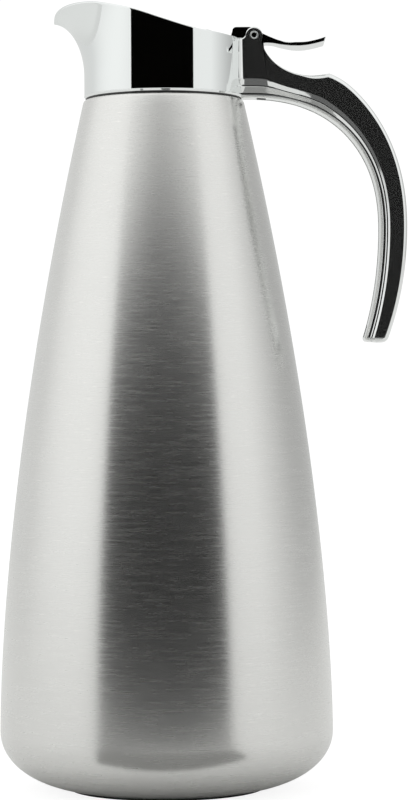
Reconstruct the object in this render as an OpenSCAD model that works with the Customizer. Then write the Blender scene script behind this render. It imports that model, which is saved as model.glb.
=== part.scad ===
// Conical double-wall vacuum jug with a pouring collar, a hook handle and a thumb lever that lifts the lid.
// The origin is the centre of the base pad's lower face. +Z is up, -X is the spout and +X is the handle.

/* [Body] */
// Radius of the outer shell where the cone starts
base_r = 65; // [60:0.5:78]
// Height of the rounded foot below the cone
foot_h = 22.9; // [18:0.1:27.5]
// Radius of the nearly flat underside inside the rounded foot
foot_flat_r = 28; // [24:0.5:34]
// How square the rounded foot is, 2 is an ellipse
foot_power = 2.1; // [2:0.05:2.6]
// Height at which the cone meets the shoulder
cone_top_z = 268.6; // [250:0.1:322]
// Radius of the cone at the shoulder
shoulder_r = 31.3; // [31:0.1:33]
// How strongly the cone's side bulges, 1 is straight
taper_power = 1.655; // [1.3:0.005:1.9]
// Radius of the rounded shoulder edge
shoulder_round = 1.9; // [1:0.1:2.5]
// Thickness of the stainless steel walls
steel_t = 0.6; // [0.4:0.1:0.9]
// Vacuum gap between the two walls
vacuum_gap = 4.5; // [3.5:0.1:6]

/* [Base] */
// Thickness of the pad under the base
pad_t = 1.0; // [0.8:0.1:1.5]
// Radius of the pad
pad_r = 38; // [35.5:0.5:39]
// Radius of the recess in the base plate
recess_r = 30; // [22:0.5:33]
// Depth of the recess in the base plate
recess_depth = 5.4; // [3:0.1:7]
// Radius of the evacuation hole in the base plate
vent_r = 1.5; // [1:0.1:2]
// Radius of the cap soldered over the evacuation hole
seal_cap_r = 6; // [4:0.1:8]
// Thickness of the cap soldered over the evacuation hole
seal_cap_t = 0.8; // [0.5:0.1:1.2]
// Radius of the getter capsule
getter_r = 5; // [3:0.1:7]
// Height of the getter capsule
getter_h = 2; // [1.5:0.1:2.5]
// Distance of the getter capsule from the axis
getter_x = 15; // [10:0.5:19]

/* [Inner bottle] */
// Height of the inner bottle's lowest point
bottle_floor_z = 13; // [12:0.1:18]
// Height of the seam between the inner bottle and its base cup
bottle_seam_z = 32; // [31:0.5:36]
// Inside radius of the neck
neck_bore_r = 25.4; // [21:0.1:25.5]
// Height of the neck above the shoulder
neck_h = 9.1; // [8:0.1:11]
// Thickness of the copper radiation shield
shield_t = 0.2; // [0.1:0.05:0.3]
// Gap between the inner bottle and the radiation shield
shield_gap = 0.5; // [0.3:0.1:1]

/* [Collar] */
// Outer radius of the chrome collar
collar_r = 31; // [30.5:0.1:37.5]
// Wall of the chrome collar
collar_t = 1.6; // [1.2:0.1:1.8]
// Thickness of the black ring between shoulder and collar
neck_ring_t = 0.5; // [0.4:0.05:1]
// Height of the chrome ring that the collar stands on
handle_ring_h = 0.9; // [0.7:0.1:1.5]
// Height of the rear rim above the shoulder top
rim_rear_h = 23.1; // [21.5:0.1:25]
// Height of the front rim above the rear rim
rim_rise = 13.2; // [9:0.1:15.8]
// How far the throat of the collar liner stands in from the neck's bore
throat_step = 0.9; // [0.5:0.1:1.9]
// Thickness of the gasket on the neck
gasket_t = 1.2; // [0.8:0.1:1.5]

/* [Spout] */
// How far the beak reaches in front of the collar
beak_reach = 11.8; // [8:0.1:14]
// Height at which the beak starts to flare, above the shoulder top
beak_start_h = 9; // [6:0.1:11]
// Half angle over which the beak spreads round the collar
beak_spread = 58; // [48:1:64]
// Height of the beak's tip below the front rim
beak_droop = 5.2; // [3:0.1:6.2]

/* [Handle] */
// Width of the handle
handle_w = 16.4; // [15:0.1:19.7]
// Distance of the handle's inner apex from the jug's axis
handle_inner_x = 84; // [78:0.5:92]
// Thickness of the handle at its apex
handle_t = 10.7; // [9.5:0.1:12]
// Height of the handle's apex below the shoulder top
handle_drop = 50.5; // [45:0.5:56]
// Angle of the free end below the apex
tip_angle = 28.7; // [22:0.1:32]
// Radius of the rounded edges along the inner side
inner_edge_r = 4.4; // [3:0.1:4.8]
// Radius of the rounded edges along the outer side
outer_edge_r = 1.6; // [1:0.1:2]
// Width of the channel that holds the inner strip
channel_w = 7; // [6:0.1:7.4]
// Depth of the channel
channel_depth = 4.4; // [4:0.1:5]
// Thickness of the inner strip
strip_t = 2.2; // [1.8:0.1:2.4]
// Thickness of the steel core under the strip
core_t = 1.6; // [1:0.1:1.8]
// Radius of the handle screws' shanks
screw_r = 1.5; // [1:0.1:1.8]
// Length of the handle screws' shanks
screw_l = 9; // [7:0.5:10]

/* [Lever and hinge] */
// Distance of the hinge pin behind the collar's wall
pivot_out = 4.4; // [4:0.1:6]
// Height of the hinge pin above the rear rim
pivot_rise = 1.3; // [1:0.1:2]
// Radius of the hinge pin
pin_r = 1.65; // [1.2:0.05:1.8]
// Radius of the recess in each end of the hinge pin
pin_recess_r = 1.15; // [0.7:0.05:1.3]
// Radius of the ears round the hinge pin
ear_r = 3.3; // [3:0.1:3.5]
// Thickness of each ear
ear_t = 3; // [2.5:0.1:3.4]
// Radial clearance of the lever's bush on the pin
pin_fit = 0.05; // [0.02:0.01:0.1]
// Gap between each ear and the lever's hub
hub_gap = 0.6; // [0.5:0.05:0.8]
// Thickness of the thumb plate
plate_t = 1.5; // [1.2:0.1:2]
// Radius of the thumb plate's curve
plate_curve_r = 26.4; // [24:0.1:32]
// Distance from the hinge pin to the tip of the thumb plate
plate_reach = 28; // [22:0.5:28.5]
// Width of the thumb plate
plate_w = 16.5; // [14:0.1:19.5]

/* [Lid] */
// Gap between the lid plate and the collar's inside
lid_gap = 1.6; // [1.2:0.1:2.9]
// Slope of the lid plate
lid_slope = 11.6; // [9:0.1:12]
// Crown of the lid plate
lid_crown = 2.8; // [2:0.1:3.2]
// Thickness of the lid plate
lid_t = 1.6; // [1.2:0.1:2]
// Gap between the plug's lower end and the throat
plug_gap = 2; // [1.7:0.1:3.5]
// Depth of the plug below its seal
plug_depth = 6; // [4:0.1:7]
// How far the lid seal reaches past the throat
seal_over = 1.5; // [1.1:0.1:1.7]
// Thickness of the lid seal
seal_t = 1; // [0.8:0.1:1.3]

/* [Lever spring] */
// Wire diameter of the torsion spring
wire_d = 0.6; // [0.4:0.05:0.7]
// Number of turns of the torsion spring
spring_turns = 5; // [3:1:6]

/* [Hidden] */

// Fineness
$fn = 96;
wall_steps = 28;
foot_steps = 12;
arc_steps = 8;

// Clearances between pieces that are put together
weld_gap = 0.05;
seat_gap = 0.05;
slide_gap = 0.3;
cut_over = 1;

// Heights from the shoulder up
shoulder_arc_z = cone_top_z - 1.6;
shoulder_z = shoulder_arc_z + shoulder_round;
neck_outer_r = neck_bore_r + 2 * steel_t;
neck_top_z = shoulder_z + neck_h;
ring_z = shoulder_z + neck_ring_t;
collar_z = ring_z + handle_ring_h;
gasket_z = neck_top_z + steel_t;
shelf_floor_z = gasket_z + gasket_t;
shelf_z = shelf_floor_z + 3.2;
rim_rear_z = shoulder_z + rim_rear_h;
beak_start_z = shoulder_z + beak_start_h;
pivot_z = rim_rear_z + pivot_rise;
liner_top_z = shelf_z + 3;

// Radii in the collar
collar_bore_r = collar_r - collar_t;
lid_r = collar_bore_r - lid_gap;
pivot_x = collar_r + pivot_out;
liner_r = collar_bore_r - 0.1;
skirt_bore_r = neck_outer_r + slide_gap;
throat_r = neck_bore_r - throat_step;
plug_r = throat_r - plug_gap;
seal_r = throat_r + seal_over;
well_r = seal_r + 1.2;
snap_inset = 0.05;
snap_w = 1.3;
snap_h = 1.8;
snap_z = shoulder_z + 3.2;

// Outline of the foot and the cone
function cone_r(z) =
    base_r - (base_r - shoulder_r) * pow((z - foot_h) / (cone_top_z - foot_h), taper_power);
function foot_point(a, inset) = [
    foot_flat_r + (base_r - foot_flat_r - inset) * pow(cos(a), 2 / foot_power),
    foot_h - (foot_h - inset) * pow(sin(a), 2 / foot_power)
];
function cone_line(z0, z1, inset) =
    [for (i = [0 : wall_steps]) let (z = z0 + (z1 - z0) * i / wall_steps) [cone_r(z) - inset, z]];
function flip(points) = [for (i = [len(points) - 1 : -1 : 0]) points[i]];
function arc(cx, cy, r, a0, a1, steps) =
    [for (i = [0 : steps]) let (a = a0 + (a1 - a0) * i / steps) [cx + r * cos(a), cy + r * sin(a)]];

// Angle round the foot at which the wall reaches the pad's height
function foot_angle(inset, z) = asin(pow((foot_h - z) / (foot_h - inset), foot_power / 2));
function foot_line(inset, z) = [
    for (i = [0 : foot_steps - 1])
        foot_point(foot_angle(inset, z) * (1 - i / foot_steps), inset)
];

module outer_shell() {
    arc_r = cone_r(shoulder_arc_z) - shoulder_round;
    outer = concat(
        foot_line(0, pad_t),
        cone_line(foot_h, shoulder_arc_z, 0),
        arc(arc_r, shoulder_arc_z, shoulder_round, 12, 90, arc_steps),
        [[neck_outer_r, shoulder_z], [neck_outer_r, neck_top_z]]
    );
    inner = concat(
        foot_line(steel_t, pad_t + steel_t),
        cone_line(foot_h, shoulder_arc_z, steel_t),
        arc(arc_r, shoulder_arc_z, shoulder_round - steel_t, 12, 90, arc_steps),
        [
            [neck_outer_r - steel_t + weld_gap, shoulder_z - steel_t],
            [neck_outer_r - steel_t + weld_gap, neck_top_z]
        ]
    );
    color("silver") rotate_extrude() polygon(concat(outer, flip(inner)));
}

module base_plate() {
    plate_r = foot_point(foot_angle(0, pad_t), 0)[0] - weld_gap;
    top_z = pad_t + recess_depth;
    color("silver") rotate_extrude() polygon([
        [plate_r - 2, pad_t], [recess_r, pad_t], [recess_r, top_z], [vent_r, top_z],
        [vent_r, top_z + steel_t], [recess_r + steel_t, top_z + steel_t],
        [recess_r + steel_t, pad_t + steel_t], [plate_r - 2, pad_t + steel_t]
    ]);
}

module base_pad() {
    color([0.08, 0.08, 0.08]) cylinder(r = pad_r, h = pad_t);
}

module vacuum_seal_cap() {
    color("goldenrod") translate([0, 0, pad_t + recess_depth - seal_cap_t])
        cylinder(r = seal_cap_r, h = seal_cap_t);
}

module getter_capsule() {
    color("dimgray") translate([getter_x, 0, pad_t + recess_depth + steel_t])
        cylinder(r = getter_r, h = getter_h);
}

// Radius of the inner bottle's outer face below its own shoulder
bottle_inset = steel_t + vacuum_gap;
bottle_shoulder_z = shoulder_z - 8;
bottle_neck_z = shoulder_z - 3;
bottle_neck_r = neck_bore_r + steel_t;

module inner_bottle() {
    outer = concat(
        cone_line(bottle_seam_z, bottle_shoulder_z, bottle_inset),
        [[bottle_neck_r, bottle_neck_z], [bottle_neck_r, neck_top_z],
         [neck_outer_r, neck_top_z], [neck_outer_r, gasket_z]]
    );
    inner = concat(
        cone_line(bottle_seam_z, bottle_shoulder_z, bottle_inset + steel_t),
        [[neck_bore_r, bottle_neck_z], [neck_bore_r, gasket_z]]
    );
    color("lightgray") rotate_extrude() polygon(concat(outer, flip(inner)));
}

module inner_base_cup() {
    rim_r = cone_r(bottle_seam_z) - bottle_inset;
    h = bottle_seam_z - bottle_floor_z;
    outer = [
        for (i = [0 : foot_steps]) let (a = 90 * i / foot_steps)
            [foot_flat_r + (rim_r - foot_flat_r) * sin(a), bottle_seam_z - h * cos(a)]
    ];
    inner = [
        for (i = [0 : foot_steps]) let (a = 90 * i / foot_steps)
            [foot_flat_r + (rim_r - steel_t - foot_flat_r) * sin(a),
             bottle_seam_z - (h - steel_t) * cos(a)]
    ];
    color("lightgray") rotate_extrude() polygon(concat(
        [[0, bottle_floor_z]], outer, flip(inner), [[0, bottle_floor_z + steel_t]]
    ));
}

module radiation_shield() {
    low_z = bottle_seam_z + 8;
    high_z = bottle_shoulder_z - 8;
    near = bottle_inset - shield_gap;
    color("peru") rotate_extrude() polygon(concat(
        cone_line(low_z, high_z, near - shield_t), flip(cone_line(low_z, high_z, near))
    ));
}

// A flat ring with its lower face at z
module ring(r_in, r_out, z, h) {
    translate([0, 0, z]) difference() {
        cylinder(r = r_out, h = h);
        translate([0, 0, -cut_over]) cylinder(r = r_in, h = h + 2 * cut_over);
    }
}

module neck_gasket() {
    color("whitesmoke") ring(neck_bore_r, skirt_bore_r - seat_gap, gasket_z, gasket_t);
}

module neck_ring() {
    color([0.06, 0.06, 0.06]) ring(neck_outer_r + slide_gap, collar_r - 0.5, shoulder_z, neck_ring_t);
}

module lock_ring() {
    color("gray") ring(
        neck_outer_r + snap_inset, neck_outer_r + snap_inset + snap_w, snap_z, snap_h
    );
}

// Heights of the two handle screws, above the chrome ring
screw_z = [collar_z + 6.2, collar_z + 12.2];
head_r = screw_r + 1;
head_h = 1.4;
head_x = collar_bore_r - head_h - 0.2;

module screw_holes(r, x0, x1) {
    for (z = screw_z)
        translate([x0, 0, z]) rotate([0, 90, 0]) cylinder(r = r, h = x1 - x0);
}

module collar_liner() {
    groove_r = neck_outer_r + snap_inset + snap_w + 0.15;
    color([0.07, 0.07, 0.07]) difference() {
        rotate_extrude() polygon([
            [skirt_bore_r, collar_z], [liner_r, collar_z], [liner_r, liner_top_z],
            [well_r, liner_top_z], [well_r, shelf_z], [throat_r + 0.8, shelf_z],
            [throat_r, shelf_z - 0.8], [throat_r, shelf_floor_z],
            [skirt_bore_r, shelf_floor_z], [skirt_bore_r, snap_z + snap_h + 0.1],
            [groove_r, snap_z + snap_h + 0.1], [groove_r, snap_z - 0.1],
            [skirt_bore_r, snap_z - 0.1]
        ]);
        translate([head_x - 0.1, -head_r - 0.1, collar_z - cut_over])
            cube([collar_t + head_h, 2 * head_r + 0.2, screw_z[1] + head_r + 0.3 - collar_z + cut_over]);
    }
}

// Rim height against distance from the axis along X, from the rear edge to the beak
rim_knots = [
    [1.0, 0.0], [0.68, 0.05], [0.38, 0.14], [0.0, 0.395], [-0.4, 0.72], [-0.8, 0.955], [-1.0, 1.0]
];
function knot_slope(i) =
    i == 0 || i == len(rim_knots) - 1 ? 0
    : (rim_knots[i + 1][1] - rim_knots[i - 1][1]) / (rim_knots[i + 1][0] - rim_knots[i - 1][0]);
function rim_between(i, u) =
    let (
        a = rim_knots[i],
        b = rim_knots[i + 1],
        w = b[0] - a[0],
        t = (u - a[0]) / w
    )
    a[1] * (2 * t * t * t - 3 * t * t + 1) + knot_slope(i) * w * (t * t * t - 2 * t * t + t)
    + b[1] * (3 * t * t - 2 * t * t * t) + knot_slope(i + 1) * w * (t * t * t - t * t);
function rim_share(u) =
    u >= 1 ? 0
    : u <= -1 ? 1
    : rim_between([for (i = [0 : len(rim_knots) - 2]) if (u < rim_knots[i][0] && u >= rim_knots[i + 1][0]) i][0], u);
function beak_part(a) = abs(a) >= beak_spread ? 0 : pow(cos(90 * a / beak_spread), 2);
function rim_radius(a) = collar_r + beak_reach * beak_part(a);
function rim_height(a) =
    let (
        x = rim_radius(a) * cos(a) - collar_r,
        v = min(1, max(0, x / beak_reach))
    )
    rim_rear_z + rim_rise * rim_share(-rim_radius(a) * cos(a) / collar_r)
    - beak_droop * (1 - pow(1 - pow(v, 2.3), 1 / 2.3));

// One upright line of the collar at angle a from the spout. The outside comes first, then the inside.
collar_low = 3;
collar_high = 12;
function flare_angle(a) = 1 + 87 * beak_part(a);
function collar_outside(a, t) =
    let (e = flare_angle(a), top = rim_height(a) - 1.2 * beak_part(a))
    [collar_r + (rim_radius(a) - collar_r) * (1 - cos(t * e)) / (1 - cos(e)),
     beak_start_z + (top - beak_start_z) * sin(t * e) / sin(e)];
function collar_normal(a, t) =
    let (
        p = collar_outside(a, max(0, t - 0.02)),
        q = collar_outside(a, min(1, t + 0.02)),
        d = q - p
    )
    [-d[1], d[0]] / norm(d);
function collar_line(a) = concat(
    [for (i = [0 : collar_low - 1]) [collar_r, collar_z + (beak_start_z - collar_z) * i / collar_low]],
    [for (i = [0 : collar_high]) collar_outside(a, i / collar_high)],
    [for (i = [collar_high : -1 : 0])
        collar_outside(a, i / collar_high) + collar_t * collar_normal(a, i / collar_high)],
    [for (i = [collar_low - 1 : -1 : 0])
        [collar_bore_r, collar_z + (beak_start_z - collar_z) * i / collar_low]]
);
collar_turns = 72;

module closed_loft(rings) {
    n = len(rings);
    m = len(rings[0]);
    points = [for (r = rings) for (p = r) p];
    faces = [
        for (i = [0 : n - 1], j = [0 : m - 1])
            [i * m + j, i * m + (j + 1) % m, ((i + 1) % n) * m + (j + 1) % m, ((i + 1) % n) * m + j]
    ];
    polyhedron(points = points, faces = [for (f = faces) flip(f)], convexity = 10);
}

module spout_collar() {
    rings = [
        for (k = [0 : collar_turns - 1])
            let (a = 360 * k / collar_turns - 180)
            [for (p = collar_line(a)) [-p[0] * cos(a), p[0] * sin(a), p[1]]]
    ];
    color([0.85, 0.86, 0.86]) difference() {
        closed_loft(rings);
        screw_holes(screw_r + 0.1, collar_bore_r - cut_over - 1, collar_r + cut_over);
    }
}

// Tongue of the ring that reaches under the handle's root
module ring_tongue(gap) {
    w = 8 + 2 * gap;
    translate([collar_r - 2, -w / 2, ring_z - gap]) cube([5 + gap, w, handle_ring_h + 2 * gap]);
}

// Ring at the foot of the collar with the tongue that carries the handle
module handle_ring() {
    color([0.85, 0.86, 0.86]) difference() {
        union() {
            translate([0, 0, ring_z]) cylinder(r = collar_r + 0.1, h = handle_ring_h);
            ring_tongue(0);
        }
        translate([0, 0, ring_z - cut_over])
            cylinder(r = neck_outer_r + slide_gap, h = handle_ring_h + 2 * cut_over);
    }
}

// The handle lies between an inner and an outer arc round one centre; above the apex both are a little square
handle_cx = collar_r + 2;
inner_power = 2.27;
outer_power = 2.12;
apex_z = shoulder_z - handle_drop;
inner_rx = handle_inner_x - handle_cx;
inner_rz_up = handle_drop + 0.4;
inner_rz_down = 88.5;
outer_rx = inner_rx + handle_t;
outer_rz_up = inner_rz_up + 17.7;
outer_rz_down = inner_rz_down + 3;
scoop_x = pivot_x + 22.6;
scoop_rx = 20;
scoop_rz = 17;
scoop_z = pivot_z + 0.7;
crest_a = 60.5;
crest_fall = 1.2;
crest_fall_a = 50;

function square_arc(a, rx, rz, power) = [rx * pow(max(0, cos(a)), 2 / power), rz * pow(sin(a), 2 / power)];
function inner_point(a) =
    [handle_cx, apex_z]
    + (a > 0 ? square_arc(a, inner_rx, inner_rz_up, inner_power) : [inner_rx * cos(a), inner_rz_down * sin(a)]);
function crest_drop(a) = crest_fall * pow(max(0, (a - crest_fall_a) / (crest_a - crest_fall_a)), 2);
function outer_point(a) =
    [handle_cx, apex_z + 1 - crest_drop(a)]
    + (a > 0 ? square_arc(a, outer_rx, outer_rz_up, outer_power) : [outer_rx * cos(a), outer_rz_down * sin(a)]);
function scoop_point(a) = [scoop_x - scoop_rx * cos(a), scoop_z - scoop_rz * sin(a)];

// Side outline of the handle in two chains that both start at the free end: the lower one follows the
// inner side to the collar, the upper one the outer side, the thumb scoop and the ears. Each point is
// [x, z, edge radius].
arc_low = 19;
root_low = 7;
arc_high = 24;
scoop_high = 13;
ear_high = 10;
tip_in = inner_point(-tip_angle);
tip_out = outer_point(-tip_angle + 0.4);
low_chain = concat(
    [for (i = [0 : arc_low + root_low])
        let (a = i < arc_low ? -tip_angle + 1.2 + (crest_a + tip_angle - 1.2) * i / arc_low
            : crest_a + (90 - crest_a) * (i - arc_low) / root_low)
        [inner_point(a)[0], inner_point(a)[1], inner_edge_r * min(1, 0.3 + (arc_low + root_low - i) / 3)]],
    [[handle_cx - 4, collar_z, 0.2], [handle_cx - 4, pivot_z - 6, 0.2]]
);
high_chain = concat(
    [[tip_in[0] + 1.4, tip_in[1] - 0.9, outer_edge_r], [tip_out[0] - 1.2, tip_out[1] - 0.6, outer_edge_r]],
    [for (i = [0 : arc_high]) let (a = 1.6 - tip_angle + (crest_a + tip_angle - 1.6) * i / arc_high)
        [outer_point(a)[0], outer_point(a)[1], outer_edge_r]],
    [[scoop_x + 2.5, scoop_z - scoop_rz + 0.15, outer_edge_r]],
    [for (i = [scoop_high - 1 : -1 : 0]) let (a = 10 + 80 * i / (scoop_high - 1))
        [scoop_point(a)[0], scoop_point(a)[1], 0.4 + (outer_edge_r - 0.4) * i / scoop_high]],
    [for (i = [0 : ear_high]) let (a = 10 + 190 * i / ear_high)
        [pivot_x + ear_r * cos(a), pivot_z + ear_r * sin(a), 0.4]]
);
handle_outline = concat(low_chain, flip(high_chain));

// Index on the lower chain of the point across from point k of the upper chain
function across(k) =
    let (crest_k = arc_high + 2, ear_k = crest_k + scoop_high + 1)
    k <= crest_k ? round(k * arc_low / crest_k)
    : k <= ear_k ? arc_low + round((k - crest_k) * root_low / (ear_k - crest_k))
    : arc_low + root_low + round((k - ear_k) * 2 / ear_high);
side_faces = [
    for (k = [0 : len(high_chain) - 2])
        let (u = len(handle_outline) - 1 - k)
        each concat(
            [[u, u - 1, across(k)]],
            [for (j = [across(k) : 1 : across(k + 1) - 1]) [j, u - 1, j + 1]]
        )
];

function wrap(i, n) = (i + n) % n;
function inset_point(line, i, share) =
    let (
        n = len(line),
        p = line[wrap(i - 1, n)],
        q = line[wrap(i + 1, n)],
        d = [q[0] - p[0], q[1] - p[1]],
        normal = [-d[1], d[0]] / norm(d)
    )
    [line[i][0] - normal[0] * line[i][2] * share, line[i][1] - normal[1] * line[i][2] * share];
function side_ring(line, b, half_w, side) = [
    for (i = [0 : len(line) - 1])
        let (p = inset_point(line, i, 1 - cos(b)), r = line[i][2])
        [p[0], side * (half_w - r + r * sin(b)), p[1]]
];

// The handle's solid: the outline across its width, with rounded long edges
module rounded_handle() {
    turns = [90, 66, 44, 22, 0];
    half_w = handle_w / 2;
    rings = concat(
        [for (b = turns) side_ring(handle_outline, b, half_w, -1)],
        [for (b = flip(turns)) side_ring(handle_outline, b, half_w, 1)]
    );
    n = len(rings);
    m = len(handle_outline);
    last = (n - 1) * m;
    walls = [
        for (i = [0 : n - 2], j = [0 : m - 1])
            [i * m + j, i * m + (j + 1) % m, (i + 1) * m + (j + 1) % m, (i + 1) * m + j]
    ];
    near = [for (f = side_faces) [f[0], f[1], f[2]]];
    far = [for (f = side_faces) [last + f[2], last + f[1], last + f[0]]];
    polyhedron(
        points = [for (r = rings) for (p = r) p],
        faces = [for (f = concat(walls, near, far)) flip(f)],
        convexity = 10
    );
}

slot_half = handle_w / 2 - ear_t;
slot_floor_z = pivot_z - 6.8;

// Strip of the handle between two depths below its inner side
function inner_offset(a, d) =
    let (run = inner_point(a + 0.3) - inner_point(a - 0.3))
    inner_point(a) + d * [run[1], -run[0]] / norm(run);
module inner_band(d0, d1, a0, a1, half_w) {
    steps = 30;
    near = [for (i = [0 : steps]) inner_offset(a0 + (a1 - a0) * i / steps, d0)];
    far = [for (i = [0 : steps]) inner_offset(a0 + (a1 - a0) * i / steps, d1)];
    translate([0, half_w, 0]) rotate([90, 0, 0])
        linear_extrude(2 * half_w) polygon(concat(near, flip(far)));
}
strip_a0 = -tip_angle + 3.2;
strip_a1 = 86;

module handle_shell() {
    color([0.85, 0.86, 0.86]) difference() {
        rounded_handle();
        translate([0, 0, ring_z - 5])
            cylinder(r = collar_r + 0.1 + seat_gap, h = rim_rear_z - ring_z + 5.3);
        translate([pivot_x - 8, -slot_half, slot_floor_z]) cube([24, 2 * slot_half, 20]);
        translate([pivot_x, handle_w, pivot_z]) rotate([90, 0, 0])
            cylinder(r = pin_r + seat_gap / 2, h = 2 * handle_w);
        ring_tongue(seat_gap);
        inner_band(-cut_over, channel_depth, -tip_angle - 3, strip_a1 + 0.2, channel_w / 2);
        screw_holes(screw_r - 0.1, collar_r - cut_over, collar_r + screw_l - 1.5);
    }
}

module handle_strip() {
    color([0.85, 0.86, 0.86])
        inner_band(0.25, strip_t, strip_a0, strip_a1, channel_w / 2 - seat_gap);
}

module handle_core() {
    color("gray") inner_band(
        strip_t + seat_gap, strip_t + seat_gap + core_t, strip_a0 + 1, strip_a1 - 8, channel_w / 2 - 0.6
    );
}

module handle_end_cap() {
    color([0.1, 0.1, 0.1]) inner_band(
        0.4, channel_depth - seat_gap, -tip_angle + 1.6, strip_a0 - 0.1, channel_w / 2 - seat_gap
    );
}

module handle_screws() {
    color("gray") for (z = screw_z) translate([0, 0, z]) rotate([0, 90, 0]) {
        difference() {
            translate([0, 0, head_x]) cylinder(r = head_r, h = head_h);
            translate([0, 0, head_x - cut_over])
                cylinder(r = 1, h = cut_over + 0.8, $fn = 6);
        }
        translate([0, 0, head_x + head_h]) cylinder(r = screw_r - 0.15, h = screw_l - 3);
    }
}

module hinge_pin() {
    color([0.85, 0.86, 0.86]) difference() {
        translate([pivot_x, handle_w / 2, pivot_z]) rotate([90, 0, 0]) cylinder(r = pin_r, h = handle_w);
        for (s = [-1, 1])
            translate([pivot_x, s * handle_w / 2 + 0.8, pivot_z]) rotate([90, 0, 0])
                cylinder(r = pin_recess_r, h = 1.6);
    }
}

hub_half = slot_half - hub_gap;
washer_t = hub_gap - 0.2;
bush_r = pin_r + pin_fit + 0.7;
window_half = 2.6;

module hinge_washers() {
    color("whitesmoke") for (s = [-1, 1])
        translate([pivot_x, s * (hub_half + hub_gap / 2) + washer_t / 2, pivot_z])
            rotate([90, 0, 0]) difference() {
                cylinder(r = ear_r - 0.4, h = washer_t);
                translate([0, 0, -cut_over]) cylinder(r = pin_r + pin_fit, h = washer_t + 2 * cut_over);
            }
}

// Torsion spring: turns round the bush, then a leg down to the slot floor
spring_mean_r = bush_r + 0.25 + wire_d / 2;
spring_pitch = wire_d + 0.1;
spring_half = spring_turns * spring_pitch / 2;
turn_steps = 16;
leg_end = [pivot_x + 3.2, slot_floor_z + wire_d / 2 + 0.1];
spring_path = concat(
    [for (i = [0 : spring_turns * turn_steps]) let (a = 180 + 360 * i / turn_steps)
        [pivot_x + spring_mean_r * cos(a), -spring_half + spring_pitch * i / turn_steps,
         pivot_z + spring_mean_r * sin(a)]],
    [[pivot_x - spring_mean_r + 0.5, spring_half, pivot_z - 3.4],
     [pivot_x - 1, spring_half, leg_end[1] + 0.6],
     [leg_end[0], spring_half, leg_end[1]]]
);
function unit(v) = v / norm(v);
function wire_ring(path, i) =
    let (
        p = path[max(0, i - 1)],
        q = path[min(len(path) - 1, i + 1)],
        t = unit(q - p),
        u = unit(cross(t, abs(t[1]) > 0.9 ? [1, 0, 0] : [0, 1, 0])),
        v = cross(t, u)
    )
    [for (k = [0 : 7]) path[i] + wire_d / 2 * (cos(45 * k) * u + sin(45 * k) * v)];

module lever_spring() {
    rings = [for (i = [0 : len(spring_path) - 1]) wire_ring(spring_path, i)];
    n = len(rings);
    walls = [
        for (i = [0 : n - 2], j = [0 : 7])
            [i * 8 + j, i * 8 + (j + 1) % 8, (i + 1) * 8 + (j + 1) % 8, (i + 1) * 8 + j]
    ];
    caps = [[for (j = [7 : -1 : 0]) j], [for (j = [0 : 7]) (n - 1) * 8 + j]];
    color("dimgray") polyhedron(
        points = [for (r = rings) for (p = r) p],
        faces = [for (f = concat(walls, caps)) flip(f)]
    );
}

// Lid plane: the lid plate's edge lies on it and is lowest at the rear rim
lid_edge_z = rim_rear_z - 1.1067 + lid_r * tan(lid_slope);
lid_ball_r = (lid_r * lid_r + lid_crown * lid_crown) / (2 * lid_crown);
shelf_top_z = shelf_z + seal_t;

// Everything under the lid plane moved down by d
module below_lid(d) {
    translate([0, 0, lid_edge_z - d]) rotate([0, lid_slope, 0])
        translate([0, 0, -50]) cube([120, 120, 100], center = true);
}

// The space under the crowned top of the lid, moved down by d
module crown_space(d) {
    translate([0, 0, lid_edge_z - d]) rotate([0, lid_slope, 0])
        translate([0, 0, lid_crown - lid_ball_r]) sphere(r = lid_ball_r, $fn = 180);
}

module lid_plate() {
    color([0.85, 0.86, 0.86]) difference() {
        intersection() {
            translate([0, 0, lid_edge_z - 20]) cylinder(r = lid_r, h = 60);
            crown_space(0);
        }
        crown_space(lid_t);
        intersection() {
            below_lid(2.4);
            translate([0, 0, lid_edge_z - 40]) cylinder(r = lid_r + cut_over, h = 80);
        }
    }
}

plug_wall = 1.6;
module lid_plug() {
    color([0.07, 0.07, 0.07]) difference() {
        intersection() {
            union() {
                translate([0, 0, shelf_z - plug_depth])
                    cylinder(r1 = plug_r, r2 = plug_r + 0.5, h = plug_depth);
                translate([0, 0, shelf_z]) cylinder(r = seal_r - 3, h = 30);
                translate([0, 0, shelf_top_z]) cylinder(r = seal_r, h = 30);
            }
            crown_space(lid_t + seat_gap);
        }
        translate([0, 0, shelf_z - plug_depth + plug_wall]) cylinder(r = plug_r - plug_wall, h = 40);
    }
}

module lid_insulation() {
    color("ivory") intersection() {
        translate([0, 0, shelf_z - plug_depth + plug_wall])
            cylinder(r = plug_r - plug_wall - seat_gap, h = 40);
        crown_space(lid_t + 0.6);
    }
}

module lid_seal() {
    color("whitesmoke") ring(seal_r - 3 + seat_gap, seal_r, shelf_z + seat_gap, seal_t - 2 * seat_gap);
}

// The tongue on the lid, the block over the rim, the hub and the thumb plate in one piece
block_x0 = collar_r - 4;
block_top_z = pivot_z + 3.5;
block_floor_z = rim_rear_z + 0.6;
hub_r = 3.5;
block_round = 1.5;
tongue_x = 16;
plate_low_z = pivot_z - 2.7;
plate_cx = pivot_x + 18;
plate_cz = plate_low_z + plate_curve_r;
neck_x = pivot_x + 6;
neck_l = 13;

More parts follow.
